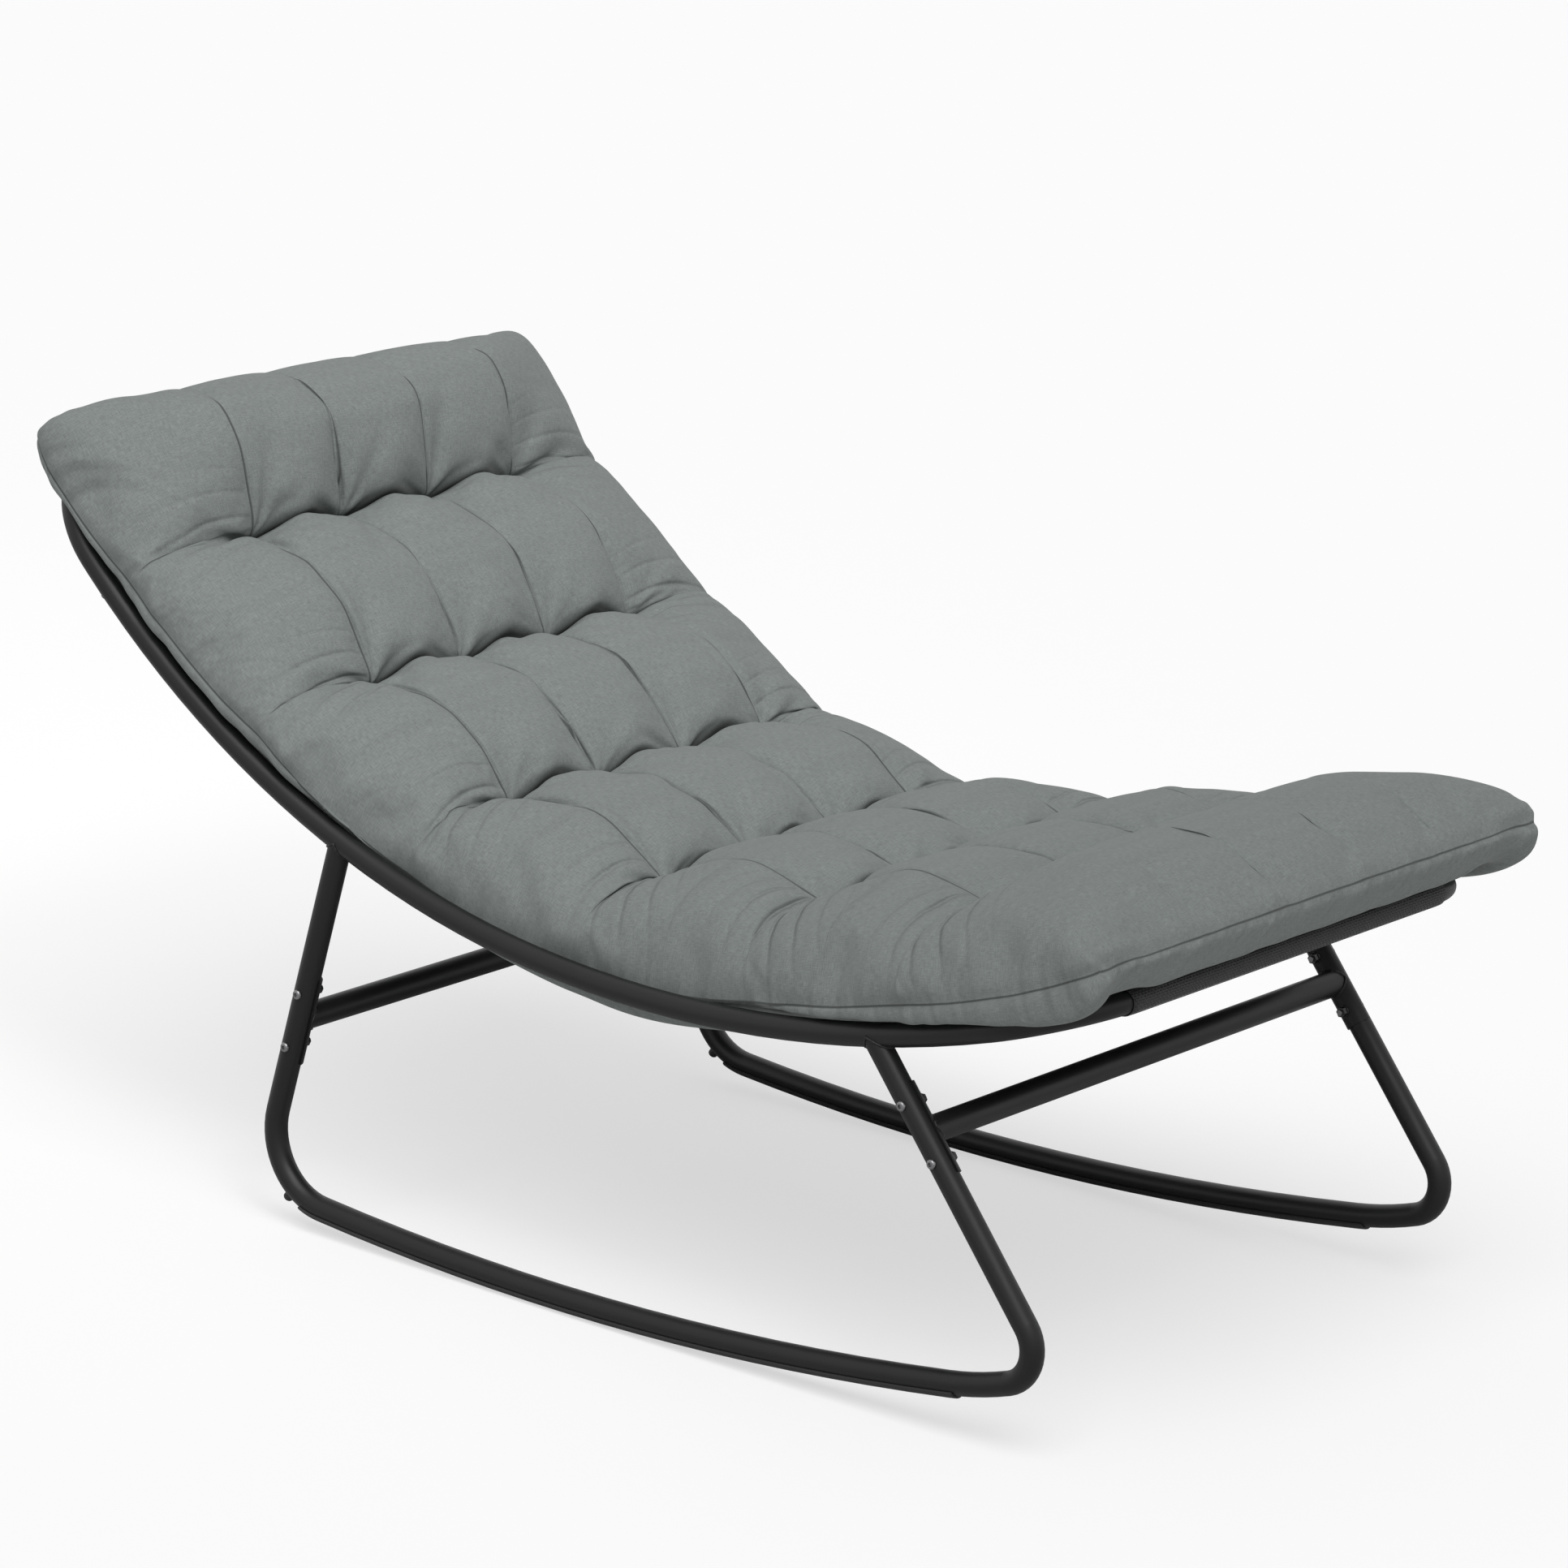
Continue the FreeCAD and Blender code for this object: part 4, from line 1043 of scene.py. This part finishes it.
def sew(cushion, shape):
    """Draw in the seams, and pucker the cloth round the tufts and along the edge, square to its surface."""
    g = shape.grid
    count = g.x.size
    move = seam_moves(shape)
    size, phase = [shape.layers[name][:count] for name in ("fold_size", "fold_phase")]
    fan = FOLD_SHARE * size * (0.4 + groove(phase))
    move[:count] += (tuft_spokes(g) * np.minimum(g.side * 2, 1) + pleats(g)).ravel() + fan
    mesh = cushion.data
    places = vertex_values(mesh, "co")
    places += vertex_values(mesh, "normal") * move[:, None]
    mesh.vertices.foreach_set("co", places.ravel())
    mesh.update()


def seam_moves(shape):
    """Grooves at the panel seams and the edge seam, and gathers beside the edge where no rail hides it."""
    g = shape.grid
    place = np.broadcast_to(g.place, g.x.shape)
    place = both(place, place).ravel()
    start, end = HIDDEN_EDGE
    free = 1 - ease_in((place - start) / HIDDEN_EASE) * ease_in((end - place) / HIDDEN_EASE)
    gap = shape.layers["edge_gap"]
    depth, width = PANEL_SEAM
    edge_depth, edge_width = EDGE_SEAM
    move = -depth * np.exp(-(shape.layers["panel_gap"] / width) ** 2)
    move = move - edge_depth * free * np.exp(-(gap / edge_width) ** 2)
    gathers = ripple(shape.layers["trail"], 1.3) * GATHER_HEIGHT * free * np.exp(-gap / GATHER_REACH)
    return move + gathers * (1 - np.exp(-gap / edge_width))


def tuft_spokes(g):
    """Short grooves that run out from each tuft like uneven spokes."""
    nearest = np.abs(g.x[:, :, None] - TUFT_COLUMNS).argmin(-1)
    row = np.abs(g.place - TUFT_ROWS).argmin(-1)[:, None]
    dx = g.x - TUFT_COLUMNS[nearest]
    ds = g.place - TUFT_ROWS[row]
    far = np.hypot(dx, ds)
    turn = np.arctan2(ds, dx)
    seed = nearest * 1.7 + row * 2.9
    spokes = groove(5 * turn + seed + 1.2 * np.sin(2 * turn + seed)) + 0.6 * groove(9 * turn - 2 * seed)
    return SPOKE_DEPTH * spokes * (far / SPOKE_REACH) * np.exp(1 - far / SPOKE_REACH)


def pleats(g):
    """A slanting pleat up from each tuft beside its seam: a ridge with a valley along one side."""
    total = 0
    for k, (place, x) in enumerate((a, b) for a in TUFT_ROWS for b in TUFT_COLUMNS):
        size = math.sin(2.4 * k + 0.5)
        way = math.copysign(1, size)
        up = (g.place - place) / ROW_PITCH
        line = g.x - x - PLEAT_OFFSET * way - PLEAT_SLANT * size * up
        window = np.sin(np.pi * np.clip((up - 0.04) / 0.62, 0, 1)) ** 2
        height = PLEAT_HEIGHT if place < TUFT_ROWS[-1] else HEAD_PLEAT_HEIGHT
        ridge = np.exp(-(line / PLEAT_RIDGE) ** 2)
        valley = np.exp(-((line - VALLEY_OFFSET * way) / PLEAT_VALLEY) ** 2)
        total = total + height * abs(size) * window * (ridge - 0.9 * valley)
    return total


def cushion_cloth(settings):
    """Matt woven cloth: fine weave, flecked yarn, thin dark seam lines, painted shade in the creases, and
    folds as bumps.
    """
    material, tree, shader = new_material(
        "woven_cover", Sheen_Weight=0.08, Sheen_Roughness=0.5, Specular_IOR_Level=0.15)
    n = Nodes(tree)
    uv = n.add("ShaderNodeUVMap", uv_map="cloth").outputs[0]
    weave = placed(n, weave_group(), Vector=uv, Pitch=0.0012)
    across = n.noise(n.scaled(uv, (120.0, 1100.0, 1.0)), 1.0, 2.0)
    along = n.noise(n.scaled(uv, (1100.0, 120.0, 1.0)), 1.0, 2.0)
    fleck = n.math("ADD", across, along)
    slub = n.noise(n.scaled(uv, (3.0, 60.0, 1.0)), 1.0, 3.0)
    base = settings.cloth
    colour = n.mix(n.span(fleck, 0.75, 1.25, 0.0, 1.0), tinted(base, 0.80), tinted(base, 1.18))
    colour = n.mix(n.span(slub, 0.4, 0.7, 0.0, 0.22), colour, tinted(base, 0.78))
    panel_seam = n.span(n.attribute("panel_gap"), 0.0003, 0.0012, 1.0, 0.0)
    edge_seam = n.span(n.attribute("edge_gap"), 0.0006, 0.0018, 1.0, 0.0)
    seam = n.math("MAXIMUM", panel_seam, edge_seam)
    colour = n.mix(n.math("MULTIPLY", seam, 0.7), colour, tinted(base, 0.12))
    # Painted shade: creases and tufts are drawn darker, down towards a tenth of the cloth's colour
    colour = n.mix(n.span(n.attribute("depth"), 0.2, 0.8, 0.0, 0.92), colour, tinted(base, 0.10))
    n.put(colour, shader.inputs["Base Color"])
    n.put(n.span(fleck, 0.75, 1.25, 0.82, 0.95), shader.inputs["Roughness"])
    height = n.math("ADD", n.math("MULTIPLY", weave["Height"], 0.6), n.math("MULTIPLY", fleck, 0.5))
    n.put(n.bump(height, 0.3, 0.0005, n.bump(fold_height(n), 1.0, 1.0)), shader.inputs["Normal"])
    return material


def fold_height(n):
    """Height in metres of the fan folds, and of the gathers that die away from the edge seam."""
    half_phase = n.math("MULTIPLY", n.attribute("fold_phase"), 0.5)
    wave = n.math("DIVIDE", n.math("SINE", half_phase), GROOVE_WIDTH)
    bell = n.math("EXPONENT", n.math("MULTIPLY", n.math("MULTIPLY", wave, wave), -1.0))
    fold = n.math("MULTIPLY", n.attribute("fold_size"), bell)
    along = n.add("ShaderNodeCombineXYZ", {"X": n.attribute("trail")}).outputs[0]
    gather = n.math("SUBTRACT", n.noise(along, 42.0, 1.0), 0.5)
    reach = n.math("EXPONENT", n.math("MULTIPLY", n.attribute("edge_gap"), -18.0))
    return n.math("SUBTRACT", n.math("MULTIPLY", n.math("MULTIPLY", gather, reach), 0.012), fold)


# Stage: where the lamps shine, and the camera's place and angles for an upright chair
KEY_TOWARDS = Vector((0.42, 0.30, -0.86))
FILL_TOWARDS = Vector((0.38, 0.62, -0.69))
FILL_AIM = Vector((0, 0.58, 0.75))
FILL_DISTANCE = 4.5
FILL_CONE = math.radians(30)
FILL_SIZE = 0.6
FLOOR_HALF = 30
CAMERA_PLACE = (-5.3026, -4.2891, 2.23295)
CAMERA_AZIMUTH = math.radians(-50.348)
CAMERA_ELEVATION = math.radians(14.177)


class LOUNGER_OT_stage(Operator):
    """Lay the floor, set the lights and put the camera at the photograph's angle"""

    bl_idname = "lounger.stage"
    bl_label = "Set the stage"

    def execute(self, context):
        settings = context.scene.lounger_stage
        scene = context.scene
        scene.view_settings.view_transform = "Standard"
        add_floor(settings)
        scene.world = studio_world(settings)
        key = add_lamp("key", "SUN", settings.key, KEY_TOWARDS)
        key.angle = settings.softness
        fill_place = FILL_AIM - FILL_TOWARDS * FILL_DISTANCE
        fill = add_lamp("back_fill", "SPOT", settings.back_fill, FILL_TOWARDS, fill_place)
        fill.spot_size = FILL_CONE
        fill.spot_blend = 1.0
        fill.shadow_soft_size = FILL_SIZE
        camera = bpy.data.cameras.new("camera")
        camera.lens = settings.lens
        camera.sensor_width = 36
        camera.clip_end = 200
        viewer = bpy.data.objects.new("camera", camera)
        scene.collection.objects.link(viewer)
        viewer.matrix_world = camera_matrix(CAMERA_PLACE, CAMERA_AZIMUTH, CAMERA_ELEVATION)
        scene.camera = viewer
        return {"FINISHED"}


def add_floor(settings):
    """Wide floor: seen, part of its light is its own glow, and to the chair it gives back only a share."""
    side = np.linspace(-FLOOR_HALF, FLOOR_HALF, 5)
    x, y = np.meshgrid(side, side)
    floor = mesh_object("floor", np.stack([x, y, np.zeros_like(x)], -1), grid_faces(5, 5))
    material, tree, shader = new_material("pale_floor", Roughness=0.9, Specular_IOR_Level=0.0)
    n = Nodes(tree)
    seen = n.add("ShaderNodeLightPath").outputs["Is Camera Ray"]
    dim = tinted(settings.floor, settings.bounce)
    lit = tinted(settings.floor, 1 - settings.glow)
    n.put(n.mix(seen, dim, lit), shader.inputs["Base Color"])
    n.put(n.mix(seen, (0, 0, 0, 1), tinted(settings.floor, 1)), shader.inputs["Emission Color"])
    shader.inputs["Emission Strength"].default_value = settings.glow
    floor.data.materials.append(material)


def studio_world(settings):
    """White surroundings, full to the eye and in reflections, and dimmer as a light."""
    world = bpy.data.worlds.new("studio")
    world.use_nodes = True
    n = Nodes(world.node_tree)
    light = n.add("ShaderNodeLightPath").outputs
    mirrored = n.math("MAXIMUM", light["Is Glossy Ray"], light["Is Transmission Ray"])
    seen = n.math("MAXIMUM", light["Is Camera Ray"], mirrored)
    back = world.node_tree.nodes["Background"]
    back.inputs["Color"].default_value = (1, 1, 1, 1)
    n.put(n.span(seen, 0, 1, settings.sky, 1.0), back.inputs["Strength"])
    return world


def add_lamp(name, kind, energy, towards, place=(0, 0, 0)):
    """Lamp at a place, turned to shine in a direction; returns its light."""
    light = bpy.data.lights.new(name, kind)
    light.energy = energy
    lamp = bpy.data.objects.new(name, light)
    bpy.context.scene.collection.objects.link(lamp)
    lamp.location = place
    lamp.rotation_euler = towards.to_track_quat("-Z", "Y").to_euler()
    return light


def camera_matrix(place, azimuth, elevation):
    """Camera that looks at an upright chair from an azimuth and elevation, leaned back with the chair."""
    flat = math.cos(elevation)
    back = Vector((math.sin(azimuth) * flat, -math.cos(azimuth) * flat, math.sin(elevation)))
    right = Vector((math.cos(azimuth), math.sin(azimuth), 0))
    up = back.cross(right)
    turn = Matrix((right, up, back)).transposed()
    lean = Matrix.Rotation(-REST_LEAN, 3, "X")
    return Matrix.Translation(leaned(place).tolist()) @ (lean @ turn).to_4x4()


class LOUNGER_PT_panel(Panel):
    """Lists the pieces of the lounger"""

    bl_idname = "LOUNGER_PT_panel"
    bl_label = "Lounger"
    bl_space_type = "VIEW_3D"
    bl_region_type = "UI"
    bl_category = "Lounger"

    def draw(self, context):
        scene = context.scene
        for settings, operators in PANEL_ROWS:
            box = self.layout.box()
            group = getattr(scene, settings)
            for key in group.bl_rna.properties.keys():
                if key not in ("rna_type", "name"):
                    box.prop(group, key)
            for operator in operators:
                box.operator(operator)


PANEL_ROWS = (
    ("lounger_frame", ("lounger.frame_finish", "lounger.welds")),
    ("lounger_sling", ("lounger.sling",)),
    ("lounger_cushion", ("lounger.cushion",)),
    ("lounger_stage", ("lounger.stage",)),
)
GROUPS = {
    "lounger_frame": LoungerFrameSettings,
    "lounger_sling": LoungerSlingSettings,
    "lounger_cushion": LoungerCushionSettings,
    "lounger_stage": LoungerStageSettings,
}
CLASSES = (
    *GROUPS.values(),
    LOUNGER_OT_frame_finish, LOUNGER_OT_welds, LOUNGER_OT_sling, LOUNGER_OT_cushion, LOUNGER_OT_stage,
    LOUNGER_PT_panel,
)


def register():
    for cls in CLASSES:
        bpy.utils.register_class(cls)
    for name, group in GROUPS.items():
        setattr(bpy.types.Scene, name, PointerProperty(type=group))


def unregister():
    for name in GROUPS:
        delattr(bpy.types.Scene, name)
    for cls in reversed(CLASSES):
        bpy.utils.unregister_class(cls)


def main():
    register()
    bpy.ops.lounger.frame_finish()
    bpy.ops.lounger.welds()
    bpy.ops.lounger.sling()
    bpy.ops.lounger.cushion()
    bpy.ops.lounger.stage()


if __name__ == "__main__":
    main()
